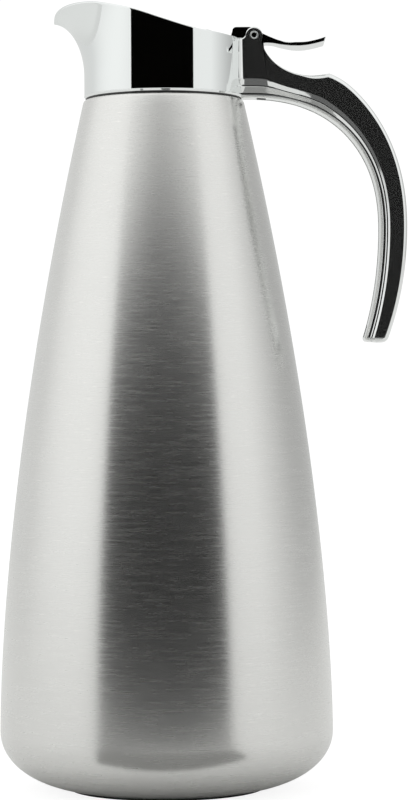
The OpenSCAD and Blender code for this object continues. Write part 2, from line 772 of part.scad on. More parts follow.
// Side outline of the lever: tongue, underside of the block, hub, thumb plate, then back over the top
tip_x = pivot_x + plate_reach;
web_x = pivot_x + 8.6;
lid_ball_x = (lid_crown - lid_ball_r) * sin(lid_slope);
lid_ball_z = lid_edge_z + (lid_crown - lid_ball_r) * cos(lid_slope);
tongue_t = 1.35;
tongue_end_x = lid_r - 0.8;
function plate_angle(x, r) = 270 + asin((x - plate_cx) / r);
function lid_angle(x, r) = acos((x - lid_ball_x) / r);
function plate_arc(r, x0, x1) =
    arc(plate_cx, plate_cz, r, plate_angle(x0, r), plate_angle(x1, r), 2 * arc_steps);
function lid_arc(r, x0, x1) = arc(lid_ball_x, lid_ball_z, r, lid_angle(x0, r), lid_angle(x1, r), arc_steps);
lever_outline = concat(
    lid_arc(lid_ball_r + seat_gap, tongue_x, tongue_end_x),
    [[lid_r + 0.4, block_floor_z]],
    arc(pivot_x, pivot_z, hub_r, 192, 300, arc_steps),
    [[pivot_x + 5, pivot_z - 3.05]],
    plate_arc(plate_curve_r + plate_t, web_x, tip_x),
    plate_arc(plate_curve_r, tip_x, web_x),
    [[pivot_x + 6, pivot_z - 0.35]],
    arc(pivot_x, pivot_z, hub_r, 18, 90, arc_steps),
    arc(block_x0 + block_round, block_top_z - block_round, block_round, 90, 180, arc_steps),
    lid_arc(lid_ball_r + tongue_t, block_x0, tongue_x)
);

// Plan outline: narrow between the ears, then slowly wider, with rounded corners at the thumb
plate_corner = 1.5;
function swell(t) = t * t * (3 - 2 * t);
half_plan = concat(
    [[tongue_x - 1, hub_half]],
    [for (i = [0 : arc_steps]) let (t = i / arc_steps)
        [neck_x + neck_l * t, hub_half + (plate_w / 2 - hub_half) * swell(t)]],
    arc(tip_x - plate_corner, plate_w / 2 - plate_corner, plate_corner, 90, 0, arc_steps)
);
lever_plan = concat(half_plan, [for (p = flip(half_plan)) [p[0], -p[1]]]);

module across_y(r, half_w) {
    translate([pivot_x, half_w, pivot_z]) rotate([90, 0, 0]) cylinder(r = r, h = 2 * half_w);
}

module thumb_lever() {
    color([0.85, 0.86, 0.86]) difference() {
        intersection() {
            translate([0, plate_w, 0]) rotate([90, 0, 0]) linear_extrude(2 * plate_w) polygon(lever_outline);
            translate([0, 0, pivot_z - 40]) linear_extrude(80) polygon(lever_plan);
        }
        across_y(bush_r + 0.02, plate_w);
        across_y(hub_r + 0.5, window_half);
    }
}

module lever_bush() {
    color("goldenrod") translate([pivot_x, hub_half, pivot_z]) rotate([90, 0, 0]) difference() {
        cylinder(r = bush_r, h = 2 * hub_half);
        translate([0, 0, -cut_over]) cylinder(r = pin_r + pin_fit, h = 2 * hub_half + 2 * cut_over);
    }
}

// Screws that hold the plug to the lid plate, from below
module lid_screws() {
    color("gray") for (a = [90, 210, 330])
        rotate([0, 0, a]) translate([14, 0, shelf_z - plug_depth - 1]) difference() {
            cylinder(r = 2.2, h = 1);
            translate([0, 0, -cut_over]) cylinder(r = 0.9, h = cut_over + 0.6, $fn = 6);
        }
}

outer_shell();
base_plate();
base_pad();
vacuum_seal_cap();
getter_capsule();
inner_bottle();
inner_base_cup();
radiation_shield();
neck_gasket();
neck_ring();
lock_ring();
collar_liner();
spout_collar();
handle_ring();
handle_shell();
handle_strip();
handle_core();
handle_end_cap();
handle_screws();
hinge_pin();
hinge_washers();
lever_spring();
thumb_lever();
lever_bush();
lid_plate();
lid_plug();
lid_insulation();
lid_seal();
lid_screws();
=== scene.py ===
import math
import bmesh
import bpy
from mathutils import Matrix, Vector


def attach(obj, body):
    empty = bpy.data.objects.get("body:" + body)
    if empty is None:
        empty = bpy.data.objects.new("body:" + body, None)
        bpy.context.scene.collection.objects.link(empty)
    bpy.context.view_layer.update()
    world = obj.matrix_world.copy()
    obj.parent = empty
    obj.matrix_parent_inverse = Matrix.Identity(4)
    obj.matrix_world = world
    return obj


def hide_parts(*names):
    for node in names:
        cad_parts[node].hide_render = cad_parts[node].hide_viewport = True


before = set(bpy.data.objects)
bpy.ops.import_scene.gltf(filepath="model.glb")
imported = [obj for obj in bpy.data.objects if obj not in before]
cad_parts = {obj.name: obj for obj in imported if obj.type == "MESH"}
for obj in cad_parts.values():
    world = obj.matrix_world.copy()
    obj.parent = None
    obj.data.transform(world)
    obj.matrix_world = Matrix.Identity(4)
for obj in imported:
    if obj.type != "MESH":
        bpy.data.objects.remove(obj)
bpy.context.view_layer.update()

MM = 0.001
jug = "jug"
lid = "lid"


# Rubber pad under the base.
# Real piece: a 1 mm disc of black rubber glued into the rim of the base plate, so the jug stands quietly.
# It stays as its CAD solid and gets a matt rubber with a fine moulded grain.
def socket_value(target, value, tree):
    """Links a node's output to a socket, or writes a plain value into it."""
    if isinstance(value, bpy.types.NodeSocket):
        tree.links.new(value, target)
    elif value is not None:
        target.default_value = value


def node(tree, kind, *values, out=0, **settings):
    """Adds a node, fills its first sockets in order and returns one output."""
    made = tree.nodes.new(kind)
    for name, value in settings.items():
        setattr(made, name, value)
    for target, value in zip(made.inputs, values):
        socket_value(target, value, tree)
    return made.outputs[out]


def calc(tree, operation, *values):
    return node(tree, "ShaderNodeMath", *values, operation=operation)


def filled(tree, made, **values):
    """Sets a node's inputs by name, where an underscore stands for a space, and returns its outputs."""
    for name, value in values.items():
        socket_value(made.inputs[name.replace("_", " ")], value, tree)
    return made.outputs


def named(tree, kind, **values):
    """Adds a node with its inputs set by name and returns its first output."""
    return filled(tree, tree.nodes.new(kind), **values)[0]


def blank_group(kind, name, takes, gives):
    """An empty node group; takes lists inputs as (name, type, value), gives outputs as (name, type)."""
    tree = bpy.data.node_groups.new(name, kind)
    for label, socket_type, value in takes:
        made = tree.interface.new_socket(label, in_out="INPUT", socket_type=socket_type)
        if value is not None:
            made.default_value = value
    for label, socket_type in gives:
        tree.interface.new_socket(label, in_out="OUTPUT", socket_type=socket_type)
    return tree, tree.nodes.new("NodeGroupInput").outputs, tree.nodes.new("NodeGroupOutput").inputs


def placed(tree, group, **values):
    """Places a node group and sets its named inputs."""
    made = tree.nodes.new("ShaderNodeGroup")
    made.node_tree = group
    return filled(tree, made, **values)


def finish_of(name, **constants):
    """A material with one Principled BSDF whose plain values are set on its own sockets."""
    made = bpy.data.materials.new(name)
    made.use_nodes = True
    tree = made.node_tree
    shader = tree.nodes["Principled BSDF"]
    for label, value in constants.items():
        shader.inputs[label.replace("_", " ")].default_value = value
    return made, tree, shader.inputs


def between(tree, value, low, high):
    """A 0 to 1 value spread between two limits."""
    return node(tree, "ShaderNodeMapRange", value, 0.0, 1.0, low, high)


def blend_colours(tree, share, first, second):
    """Mixes two colours, each an output or a plain red, green and blue."""
    first, second = [(*c, 1) if isinstance(c, tuple) else c for c in (first, second)]
    made = tree.nodes.new("ShaderNodeMix")
    made.data_type = "RGBA"
    socket_value(made.inputs[0], share, tree)
    socket_value(made.inputs[6], first, tree)
    socket_value(made.inputs[7], second, tree)
    return made.outputs[2]


def relief(tree, shader, height, strength, depth):
    """Bump from a height, read by the shader's normal."""
    bump = named(tree, "ShaderNodeBump", Strength=strength, Distance=depth, Height=height)
    tree.links.new(bump, shader["Normal"])


def grain_group():
    """Fine moulded grain with faint cloudiness, for rubber, plastic and foam."""
    tree, takes, gives = blank_group(
        "ShaderNodeTree", "Moulded grain",
        [("Grain Size", "NodeSocketFloat", 2500.0), ("Cloud Size", "NodeSocketFloat", 60.0)],
        [("Grain", "NodeSocketFloat"), ("Cloud", "NodeSocketFloat")],
    )
    place = node(tree, "ShaderNodeTexCoord", out=3)
    tree.links.new(named(tree, "ShaderNodeTexNoise", Vector=place, Scale=takes[0], Detail=3.0), gives[0])
    tree.links.new(named(tree, "ShaderNodeTexNoise", Vector=place, Scale=takes[1], Detail=2.0), gives[1])
    return tree


moulded_grain = grain_group()


def moulded(name, colour, worn, rough, grain=2500.0, cloud=60.0, bump=0.15, **constants):
    """Rubber, plastic or foam: grain in the bump, cloudiness in colour and roughness."""
    made, tree, shader = finish_of(name, **constants)
    grainy = placed(tree, moulded_grain, Grain_Size=grain, Cloud_Size=cloud)
    socket_value(shader["Base Color"], blend_colours(tree, grainy["Cloud"], colour, worn), tree)
    socket_value(shader["Roughness"], between(tree, grainy["Cloud"], rough - 0.07, rough + 0.07), tree)
    relief(tree, shader, grainy["Grain"], bump, 0.1 * MM)
    return made


def dress(name, finish):
    """Gives a CAD node its finish."""
    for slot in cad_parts[name].material_slots:
        slot.material = finish


pad_rubber = moulded("pad rubber", (0.018, 0.018, 0.019), (0.035, 0.034, 0.033), 0.72, 1800.0, 90.0, 0.4)
dress("base_pad", pad_rubber)


# Base plate, evacuation cap and getter.
# Real piece: a pressed stainless plate welded into the foot, with a solder cap over the evacuation hole.
# The plate is dull satin steel, the cap tin solder.
def smudge_group():
    """Slow change of gloss over a metal face, with fine hairlines in it."""
    tree, takes, gives = blank_group(
        "ShaderNodeTree", "Handled metal",
        [("Smudge Size", "NodeSocketFloat", 45.0), ("Hairline Size", "NodeSocketFloat", 900.0)],
        [("Smudge", "NodeSocketFloat"), ("Hairline", "NodeSocketFloat")],
    )
    place = node(tree, "ShaderNodeTexCoord", out=3)
    cloud = named(tree, "ShaderNodeTexNoise", Vector=place, Scale=takes[0], Detail=4.0, Distortion=0.6)
    drawn = node(tree, "ShaderNodeVectorMath", place, (0.12, 1.0, 0.5), operation="MULTIPLY")
    line = named(tree, "ShaderNodeTexNoise", Vector=drawn, Scale=takes[1], Detail=2.0)
    tree.links.new(cloud, gives[0])
    tree.links.new(line, gives[1])
    return tree


handled_metal = smudge_group()


def bare_metal(name, colour, dull, rough, spread, bump=0.0, smudge=45.0, metallic=1.0):
    """Metal with smudges in its colour and gloss and hairlines in its relief."""
    made, tree, shader = finish_of(name, Metallic=metallic)
    used = placed(tree, handled_metal, Smudge_Size=smudge)
    socket_value(shader["Base Color"], blend_colours(tree, used["Smudge"], colour, dull), tree)
    socket_value(shader["Roughness"], between(tree, used["Smudge"], rough - spread, rough + spread), tree)
    if bump:
        relief(tree, shader, used["Hairline"], bump, 0.05 * MM)
    return made


satin_steel = bare_metal("satin steel", (0.6, 0.6, 0.59), (0.5, 0.5, 0.49), 0.3, 0.06, 0.12)
dress("base_plate", satin_steel)
dress("getter_capsule", satin_steel)
solder = bare_metal("tin solder", (0.58, 0.56, 0.5), (0.42, 0.4, 0.36), 0.42, 0.12, 0.3, 300.0)
dress("vacuum_seal_cap", solder)


# Outer shell.
# Real piece: a stainless steel cone 0.6 mm thick with a rounded foot, rolled in at the shoulder.
# It is spun, then brushed while it turns, so its fine lines run round the axis.
shell_sizes = {
    "Base Radius": 65 * MM, "Foot Height": 22.9 * MM, "Foot Flat Radius": 28 * MM, "Foot Power": 2.1,
    "Pad Height": 1 * MM, "Cone Top": 268.6 * MM, "Shoulder Radius": 31.3 * MM, "Taper Power": 1.655,
    "Arc Height": 267 * MM, "Shoulder Round": 1.9 * MM, "Neck Radius": 26.6 * MM, "Neck Top": 278 * MM,
}
shoulder_lean = math.radians(12)


def split(tree, vector):
    """The three parts of a vector, as outputs."""
    return filled(tree, tree.nodes.new("ShaderNodeSeparateXYZ"), Vector=vector)


def turned_band(tree, rows, around, place):
    """A grid rolled round Z; place(v) gives its radius and height where v runs 0 to 1 up the band."""
    grid = named(
        tree, "GeometryNodeMeshGrid", Size_X=1.0, Size_Y=1.0, Vertices_X=around, Vertices_Y=rows + 1,
    )
    spot = split(tree, node(tree, "GeometryNodeInputPosition"))
    turn = calc(tree, "MULTIPLY", calc(tree, "ADD", spot[0], 0.5), 2 * math.pi)
    radius, height = place(calc(tree, "ADD", spot[1], 0.5))
    point = node(
        tree, "ShaderNodeCombineXYZ",
        calc(tree, "MULTIPLY", radius, calc(tree, "COSINE", turn)),
        calc(tree, "MULTIPLY", radius, calc(tree, "SINE", turn)), height,
    )
    return named(tree, "GeometryNodeSetPosition", Geometry=grid, Position=point)


def close_tree(tree, shape, finish, gives):
    """Makes the shape real, gives it its finish and hands it out."""
    real = named(tree, "GeometryNodeRealizeInstances", Geometry=shape)
    tree.links.new(named(tree, "GeometryNodeSetMaterial", Geometry=real, Material=finish), gives[0])


def shell_tree(finish):
    """The whole shell as turned bands, from the edge of the foot up to the top of the neck."""
    takes = [(name, "NodeSocketFloat", value) for name, value in shell_sizes.items()]
    takes.append(("Points Around", "NodeSocketInt", 241))
    tree, size, gives = blank_group(
        "GeometryNodeTree", "Spun shell", takes, [("Geometry", "NodeSocketGeometry")],
    )
    foot_rise = calc(tree, "SUBTRACT", size["Foot Height"], size["Pad Height"])
    low_share = calc(tree, "DIVIDE", foot_rise, size["Foot Height"])
    low_up = calc(tree, "POWER", low_share, calc(tree, "DIVIDE", size["Foot Power"], 2.0))
    foot_turn = calc(tree, "ARCSINE", low_up)
    bend = calc(tree, "DIVIDE", 2.0, size["Foot Power"])
    narrowing = calc(tree, "SUBTRACT", size["Base Radius"], size["Shoulder Radius"])
    cone_height = calc(tree, "SUBTRACT", size["Cone Top"], size["Foot Height"])

    def cone_radius(height):
        share = calc(tree, "DIVIDE", calc(tree, "SUBTRACT", height, size["Foot Height"]), cone_height)
        share = calc(tree, "POWER", calc(tree, "MAXIMUM", share, 0.0), size["Taper Power"])
        return calc(tree, "SUBTRACT", size["Base Radius"], calc(tree, "MULTIPLY", narrowing, share))

    def foot(v):
        turn = calc(tree, "MULTIPLY", foot_turn, calc(tree, "SUBTRACT", 1.0, v))
        out = calc(tree, "POWER", calc(tree, "COSINE", turn), bend)
        up = calc(tree, "POWER", calc(tree, "SINE", turn), bend)
        reach = calc(tree, "SUBTRACT", size["Base Radius"], size["Foot Flat Radius"])
        return (
            calc(tree, "MULTIPLY_ADD", reach, out, size["Foot Flat Radius"]),
            calc(tree, "MULTIPLY", size["Foot Height"], calc(tree, "SUBTRACT", 1.0, up)),
        )

    bend_r = size["Shoulder Round"]
    meeting = calc(tree, "MULTIPLY_ADD", bend_r, math.sin(shoulder_lean), size["Arc Height"])

    def cone(v):
        rise = calc(tree, "SUBTRACT", meeting, size["Foot Height"])
        height = calc(tree, "MULTIPLY_ADD", rise, v, size["Foot Height"])
        return cone_radius(height), height

    back = calc(tree, "MULTIPLY", bend_r, math.cos(shoulder_lean))
    arc_radius = calc(tree, "SUBTRACT", cone_radius(meeting), back)

    def shoulder(v):
        turn = calc(tree, "MULTIPLY_ADD", v, math.pi / 2 - shoulder_lean, shoulder_lean)
        return (
            calc(tree, "MULTIPLY_ADD", bend_r, calc(tree, "COSINE", turn), arc_radius),
            calc(tree, "MULTIPLY_ADD", bend_r, calc(tree, "SINE", turn), size["Arc Height"]),
        )

    top = calc(tree, "ADD", size["Arc Height"], bend_r)

    def ledge(v):
        run = calc(tree, "SUBTRACT", size["Neck Radius"], arc_radius)
        return calc(tree, "MULTIPLY_ADD", run, v, arc_radius), top

    def neck(v):
        rise = calc(tree, "SUBTRACT", size["Neck Top"], top)
        return size["Neck Radius"], calc(tree, "MULTIPLY_ADD", rise, v, top)

    joined = tree.nodes.new("GeometryNodeJoinGeometry")
    for rows, rule in ((28, foot), (72, cone), (10, shoulder), (2, ledge), (3, neck)):
        tree.links.new(turned_band(tree, rows, size["Points Around"], rule), joined.inputs[0])
    closed = named(
        tree, "GeometryNodeMergeByDistance", Geometry=joined.outputs[0], Distance=0.003 * MM,
    )
    close_tree(tree, closed, finish, gives)
    return tree


def baked(piece):
    """Applies the piece's modifiers."""
    evaluated = piece.evaluated_get(bpy.context.evaluated_depsgraph_get())
    plain = bpy.data.meshes.new_from_object(evaluated)
    piece.modifiers.clear()
    piece.data = plain


def grown(name, tree, **sizes):
    """Runs a Geometry Nodes tree on an empty mesh and returns the result as a plain mesh object."""
    seed = bpy.data.objects.new(name, bpy.data.meshes.new(name))
    bpy.context.collection.objects.link(seed)
    modifier = seed.modifiers.new("Shape", "NODES")
    modifier.node_group = tree
    for item in tree.interface.items_tree:
        if item.in_out == "INPUT" and item.name in sizes:
            modifier[item.identifier] = sizes[item.name]
    baked(seed)
    return seed


def smooth_faces(piece, corner=35):
    """Smooth shading that stays sharp at corners."""
    shape = bmesh.new()
    shape.from_mesh(piece.data)
    bmesh.ops.remove_doubles(shape, verts=shape.verts, dist=0.0004 * MM)
    for face in shape.faces:
        face.smooth = True
    for edge in shape.edges:
        edge.smooth = len(edge.link_faces) != 2 or edge.calc_face_angle() < math.radians(corner)
    shape.to_mesh(piece.data)
    shape.free()


def face_out(piece):
    """Turns every face of a closed piece outwards."""
    shape = bmesh.new()
    shape.from_mesh(piece.data)
    bmesh.ops.recalc_face_normals(shape, faces=shape.faces)
    shape.to_mesh(piece.data)
    shape.free()


def stands_for(piece, body, slot, *nodes):
    """Puts a piece on a body, in place of CAD nodes; slot is not used."""
    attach(piece, body)
    if nodes:
        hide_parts(*nodes)


def turned_brushing_group():
    """Fine lines round the Z axis, closed all the way round, with slow bands under them."""
    tree, takes, gives = blank_group(
        "ShaderNodeTree", "Turned brushing",
        [("Line Length", "NodeSocketFloat", 7.0), ("Lines Per Metre", "NodeSocketFloat", 3200.0)],
        [("Lines", "NodeSocketFloat"), ("Scratches", "NodeSocketFloat"), ("Bands", "NodeSocketFloat")],
    )
    place = node(tree, "ShaderNodeTexCoord", out=3)
    flat = node(tree, "ShaderNodeVectorMath", place, (1, 1, 0), operation="MULTIPLY")
    round_axis = node(tree, "ShaderNodeVectorMath", flat, operation="NORMALIZE")
    spot = split(tree, place)

    def streaks(pitch_share, detail, length_share=1.0):
        made = tree.nodes.new("ShaderNodeVectorMath")
        made.operation = "SCALE"
        length = calc(tree, "MULTIPLY", takes[0], length_share)
        along = filled(tree, made, Vector=round_axis, Scale=length)[0]
        up = calc(tree, "MULTIPLY", spot[2], calc(tree, "MULTIPLY", takes[1], pitch_share))
        upright = node(tree, "ShaderNodeCombineXYZ", 0.0, 0.0, up)
        where = node(tree, "ShaderNodeVectorMath", along, upright, operation="ADD")
        return named(tree, "ShaderNodeTexNoise", Vector=where, Scale=1.0, Detail=detail)

    fine, coarse = streaks(1.0, 2.0), streaks(0.4, 3.0, 0.45)
    both = calc(tree, "MULTIPLY_ADD", fine, 0.55, calc(tree, "MULTIPLY", coarse, 0.45))
    tree.links.new(both, gives[0])
    rare = node(tree, "ShaderNodeMapRange", streaks(0.55, 1.0, 1.6), 0.66, 0.78, 0.0, 1.0)
    tree.links.new(rare, gives[1])
    tree.links.new(streaks(0.02, 3.0, 0.35), gives[2])
    return tree


turned_brushing = turned_brushing_group()


def brushed_round(name, colour, dull, rough, anisotropy, bump, lines=3200.0, spread=0.06):
    """Steel brushed round Z: the gloss is drawn out across the lines."""
    made, tree, shader = finish_of(name, Metallic=1.0, Anisotropic=anisotropy, Anisotropic_Rotation=0.25)
    brushing = placed(tree, turned_brushing, Lines_Per_Metre=lines)
    bands = calc(tree, "MULTIPLY", brushing["Bands"], 0.25)
    tone = calc(tree, "MULTIPLY_ADD", brushing["Lines"], 0.75, bands)
    plain = blend_colours(tree, between(tree, tone, 0.0, 1.0), dull, colour)
    bright = blend_colours(tree, brushing["Scratches"], plain, (0.82, 0.81, 0.79))
    socket_value(shader["Base Color"], bright, tree)
    limits = (0.3, 0.7, rough - spread, rough + spread)
    gloss = node(tree, "ShaderNodeMapRange", brushing["Lines"], *limits)
    socket_value(shader["Roughness"], calc(tree, "MAXIMUM", gloss, 0.05), tree)
    relief(tree, shader, brushing["Lines"], bump, 0.02 * MM)
    tangent = node(tree, "ShaderNodeTangent", direction_type="RADIAL", axis="Z")
    tree.links.new(tangent, shader["Tangent"])
    return made


brushed_steel = brushed_round(
    "brushed steel", (0.82, 0.815, 0.80), (0.70, 0.695, 0.68), 0.255, 0.5, 0.28, spread=0.04,
)
shell = grown("outer_shell_skin", shell_tree(brushed_steel), **shell_sizes, **{"Points Around": 241})
face_out(shell)
wall = shell.modifiers.new("Wall", "SOLIDIFY")
wall.thickness = 0.6 * MM
wall.offset = -1.0
baked(shell)
smooth_faces(shell)
stands_for(shell, jug, "brushed_shell", "outer_shell")


# Inner bottle, its base cup, the copper shield between the walls and the neck gasket.
# Real piece: a second steel wall in the vacuum, wrapped in copper foil, with a silicone seal on its rim.
# Only the mouth of the bottle and the seal are seen, with the lid open.
bottle_steel = brushed_round(
    "bottle steel", (0.66, 0.66, 0.65), (0.52, 0.52, 0.51), 0.34, 0.6, 0.15, 1600.0,
)
dress("inner_bottle", bottle_steel)
dress("inner_base_cup", bottle_steel)
copper_foil = bare_metal("copper foil", (0.78, 0.44, 0.3), (0.66, 0.34, 0.22), 0.24, 0.08, 0.4, 160.0)
dress("radiation_shield", copper_foil)
silicone = moulded(
    "silicone", (0.76, 0.76, 0.74), (0.68, 0.68, 0.66), 0.48, 1400.0, 80.0, 0.1, Subsurface_Weight=0.15,
)
dress("neck_gasket", silicone)
dress("lock_ring", satin_steel)


# Black ring on the shoulder, and the liner inside the collar.
# Real piece: moulded black polypropylene; the ring hides the joint, the liner clips the collar to the neck.
# Both are satin mouldings and stay as their CAD solids.
black_plastic = moulded(
    "black moulding", (0.014, 0.014, 0.015), (0.024, 0.023, 0.023), 0.38, 2600.0, 70.0, 0.12,
)
dress("neck_ring", black_plastic)
dress("collar_liner", black_plastic)


# Chrome ring at the foot of the collar, with the tongue that runs under the handle.
# Real piece: a die-cast ring, plated bright, that ties the handle's root to the neck.
# Its outer face leans in towards the lower edge, and its tongue is a short bar.
def chrome_finish(name, colour, rough=0.03, metallic=1.0):
    """Bright plating with only a trace of smudges."""
    dull = tuple(0.985 * c for c in colour)
    return bare_metal(name, colour, dull, rough, 0.012, smudge=28.0, metallic=metallic)


chrome = chrome_finish("chrome plating", (0.86, 0.875, 0.87))


def mesh_piece(name, points, faces, finish):
    shape = bpy.data.meshes.new(name)
    shape.from_pydata([tuple(p) for p in points], [], faces)
    shape.materials.append(finish)
    piece = bpy.data.objects.new(name, shape)
    bpy.context.collection.objects.link(piece)
    return piece


def loft(name, rings, finish, round_trip=False, capped=False, corner=35):
    """A skin over closed rings of equal length; round_trip joins the last ring to the first."""
    count, size = len(rings), len(rings[0])
    points = [p for ring in rings for p in ring]
    faces = []
    for i in range(count if round_trip else count - 1):
        for j in range(size):
            a, b = i * size, (i + 1) % count * size
            faces.append((a + j, a + (j + 1) % size, b + (j + 1) % size, b + j))
    if capped:
        faces.append(tuple(reversed(range(size))))
        faces.append(tuple(range((count - 1) * size, count * size)))
    piece = mesh_piece(name, points, faces, finish)
    face_out(piece)
    smooth_faces(piece, corner)
    return piece


def quarter(cx, cy, rx, ry, start, end, steps):
    """Points on an ellipse from start to end, in degrees."""
    turns = [math.radians(start + (end - start) * i / steps) for i in range(steps + 1)]
    return [(cx + rx * math.cos(t), cy + ry * math.sin(t)) for t in turns]


def turned(name, outline, finish, around=192):
    """A closed outline of (radius, height) turned round Z."""
    rings = []
    for k in range(around):
        t = 2 * math.pi * k / around
        rings.append([(r * math.cos(t), r * math.sin(t), z) for r, z in outline])
    return loft(name, rings, finish, round_trip=True)


ring_low, ring_high, ring_r, ring_bore_r = 269.4 * MM, 270.3 * MM, 31.1 * MM, 27 * MM
lean, face_foot, face_rise = 0.42 * MM, 0.07 * MM, 0.73 * MM
ring_outline = [(r, ring_low) for r in (ring_bore_r, 30 * MM, ring_r - lean - 0.1 * MM)]
ring_outline += [
    (ring_r - lean * (1 - t), ring_low + face_foot + face_rise * t) for t in (0.0, 0.1, 0.5, 0.9, 1.0)
]
ring_outline += [(r, ring_high) for r in (ring_r - 0.05 * MM, 30 * MM, ring_bore_r)]
chrome_ring = turned("handle_ring_chrome", ring_outline, chrome)
tongue = bmesh.new()
bmesh.ops.create_cube(tongue, size=1.0)
tongue_middle = Vector((31.5 * MM, 0, (ring_low + ring_high) / 2))
tongue_size = Vector((5 * MM, 8 * MM, ring_high - ring_low))
for corner_point in tongue.verts:
    corner_point.co = tongue_middle + corner_point.co * tongue_size
bmesh.ops.bevel(tongue, geom=tongue.edges[:], offset=0.15 * MM, segments=3, affect="EDGES")
tongue.from_mesh(chrome_ring.data)
tongue.to_mesh(chrome_ring.data)
tongue.free()
smooth_faces(chrome_ring)
stands_for(chrome_ring, jug, "chrome", "handle_ring")


# Collar with the pouring beak.
# Real piece: a chromed zinc casting 1.6 mm thick, round at the neck, drawn out to a beak with a full lip.
# Its rim falls from the beak to the hinge in one slow curve; the edge is polished round.
collar_r, collar_wall, collar_z = 31 * MM, 1.6 * MM, 270.3 * MM
beak_reach, beak_spread, beak_start_z = 11.8 * MM, 58.0, 277.9 * MM
rim_rear_z, rim_rise, beak_droop = 292 * MM, 13.2 * MM, 5.2 * MM
lip_round, lip_lowered = 0.35 * MM, 1.2 * MM
rim_knots = [
    (-1.0, 1.0), (-0.8, 0.955), (-0.4, 0.72), (0.0, 0.395), (0.38, 0.14), (0.68, 0.05), (1.0, 0.0),
]


def smooth_through(knots, x, first_slope=0.0, last_slope=0.0):
    """Height at x of a smooth curve through knots that are given in rising order."""
    x = min(knots[-1][0], max(knots[0][0], x))
    i = next(k for k in range(len(knots) - 1) if x <= knots[k + 1][0])

    def slope(k):
        if k == 0:
            return first_slope
        if k == len(knots) - 1:
            return last_slope
        before, after = knots[k - 1], knots[k + 1]
        return (after[1] - before[1]) / (after[0] - before[0])

    (x0, y0), (x1, y1) = knots[i], knots[i + 1]
    w = x1 - x0
    t = (x - x0) / w
    return (
        y0 * (2 * t**3 - 3 * t**2 + 1) + slope(i) * w * (t**3 - 2 * t**2 + t)
        + y1 * (3 * t**2 - 2 * t**3) + slope(i + 1) * w * (t**3 - t**2)
    )


def beak_part(a):
    """How much of the beak there is at angle a: 1 on its middle line, 0 beside it."""
    return 0.0 if abs(a) >= beak_spread else math.cos(math.radians(90 * a / beak_spread)) ** 2


def rim_radius(a):
    return collar_r + beak_reach * beak_part(a)


def rim_height(a):
    reach = rim_radius(a) * math.cos(math.radians(a))
    v = min(1.0, max(0.0, (reach - collar_r) / beak_reach))
    droop = beak_droop * (1 - (1 - v**2.3) ** (1 / 2.3))
    return rim_rear_z + rim_rise * smooth_through(rim_knots, -reach / collar_r) - droop


def collar_outside(a, t):
    """Radius and height outside the collar at angle a from the beak; t is 0 at the flare, 1 at the rim."""
    turn = math.radians(1 + 87 * beak_part(a))
    top = rim_height(a) - lip_lowered * beak_part(a)
    return (
        collar_r + (rim_radius(a) - collar_r) * (1 - math.cos(t * turn)) / (1 - math.cos(turn)),
        beak_start_z + (top - beak_start_z) * math.sin(t * turn) / math.sin(turn),
    )


def collar_ring(a):
    """The closed section of the collar's wall at angle a, with its lip polished round."""
    outside = [(collar_r - 0.12 * MM, collar_z), (collar_r - 0.04 * MM, collar_z + 0.03 * MM)]
    outside += [(collar_r, collar_z + 0.12 * MM), (collar_r, collar_z + 0.22 * MM)]
    outside += [(collar_r, collar_z + (beak_start_z - collar_z) * i / 6) for i in range(1, 6)]
    steps = 26
    outside += [collar_outside(a, i / steps) for i in range(steps + 1)]
    normals = []
    for i, p in enumerate(outside):
        before, after = outside[max(1, i - 1)], outside[min(len(outside) - 1, i + 1)]
        run, rise = after[0] - before[0], after[1] - before[1]
        size = math.hypot(run, rise) or 1.0
        normals.append((-rise / size, run / size))
    lip = lip_round
    tip, inward = outside[-1], normals[-1]
    up = (inward[1], -inward[0])
    rounded = []
    for centre, turns in ((lip, (90, 180)), (collar_wall - lip, (0, 90))):
        for k in range(1, 6):
            t = math.radians(turns[0] + (turns[1] - turns[0]) * k / 6)
            if centre == lip:
                across, along = lip - lip * math.sin(t), -lip * math.cos(t)
            else:
                across, along = centre + lip * math.sin(t), lip * math.cos(t)
            rounded.append((
                tip[0] + inward[0] * across + up[0] * (along - lip),
                tip[1] + inward[1] * across + up[1] * (along - lip),
            ))
    cut_back = (tip[0] - up[0] * lip, tip[1] - up[1] * lip)
    cut_in = (cut_back[0] + inward[0] * collar_wall, cut_back[1] + inward[1] * collar_wall)
    inside = [(p[0] + n[0] * collar_wall, p[1] + n[1] * collar_wall) for p, n in zip(outside, normals)]
    inside[0] = (collar_r - collar_wall, collar_z)
    line = outside[:-1] + [cut_back] + rounded + [cut_in] + list(reversed(inside[:-1]))
    c, s = math.cos(math.radians(a)), math.sin(math.radians(a))
    return [(-r * c, r * s, z) for r, z in line]


collar = loft(
    "spout_collar_chrome", [collar_ring(360 * k / 288 - 180) for k in range(288)],
    chrome_finish("collar chrome", (0.86, 0.88, 0.875), 0.035), round_trip=True, corner=50,
)
stands_for(collar, jug, "chrome", "spout_collar")


# Handle.
# Real piece: one hollow hook of chromed zinc; a groove down each flat cheek parts the round inner half
# from a bevel, and the root carries the hinge's two ears. Two screws from inside the collar hold it.
handle_cx, apex_z = 33 * MM, 218.4 * MM
inner_rx, inner_up, inner_down, inner_power = 51 * MM, 50.9 * MM, 88.5 * MM, 2.27
outer_rx, outer_up, outer_down, outer_power = 61.7 * MM, 68.6 * MM, 91.5 * MM, 2.12
tip_angle, crest_angle, crest_fall, fall_angle = 28.7, 60.5, 1.2 * MM, 50
half_w, tip_round = 8.2 * MM, 1.9 * MM
scoop_x, scoop_z, scoop_rx, scoop_rz = 58 * MM, 294 * MM, 20 * MM, 16.5 * MM
pivot_x, pivot_z, ear_r = 35.4 * MM, 293.3 * MM, 3.3 * MM
arch_round, ear_round = 2 * MM, 0.65 * MM
ear_fillet, low_fillet, foot_fillet = 2.2 * MM, 1 * MM, 1.8 * MM
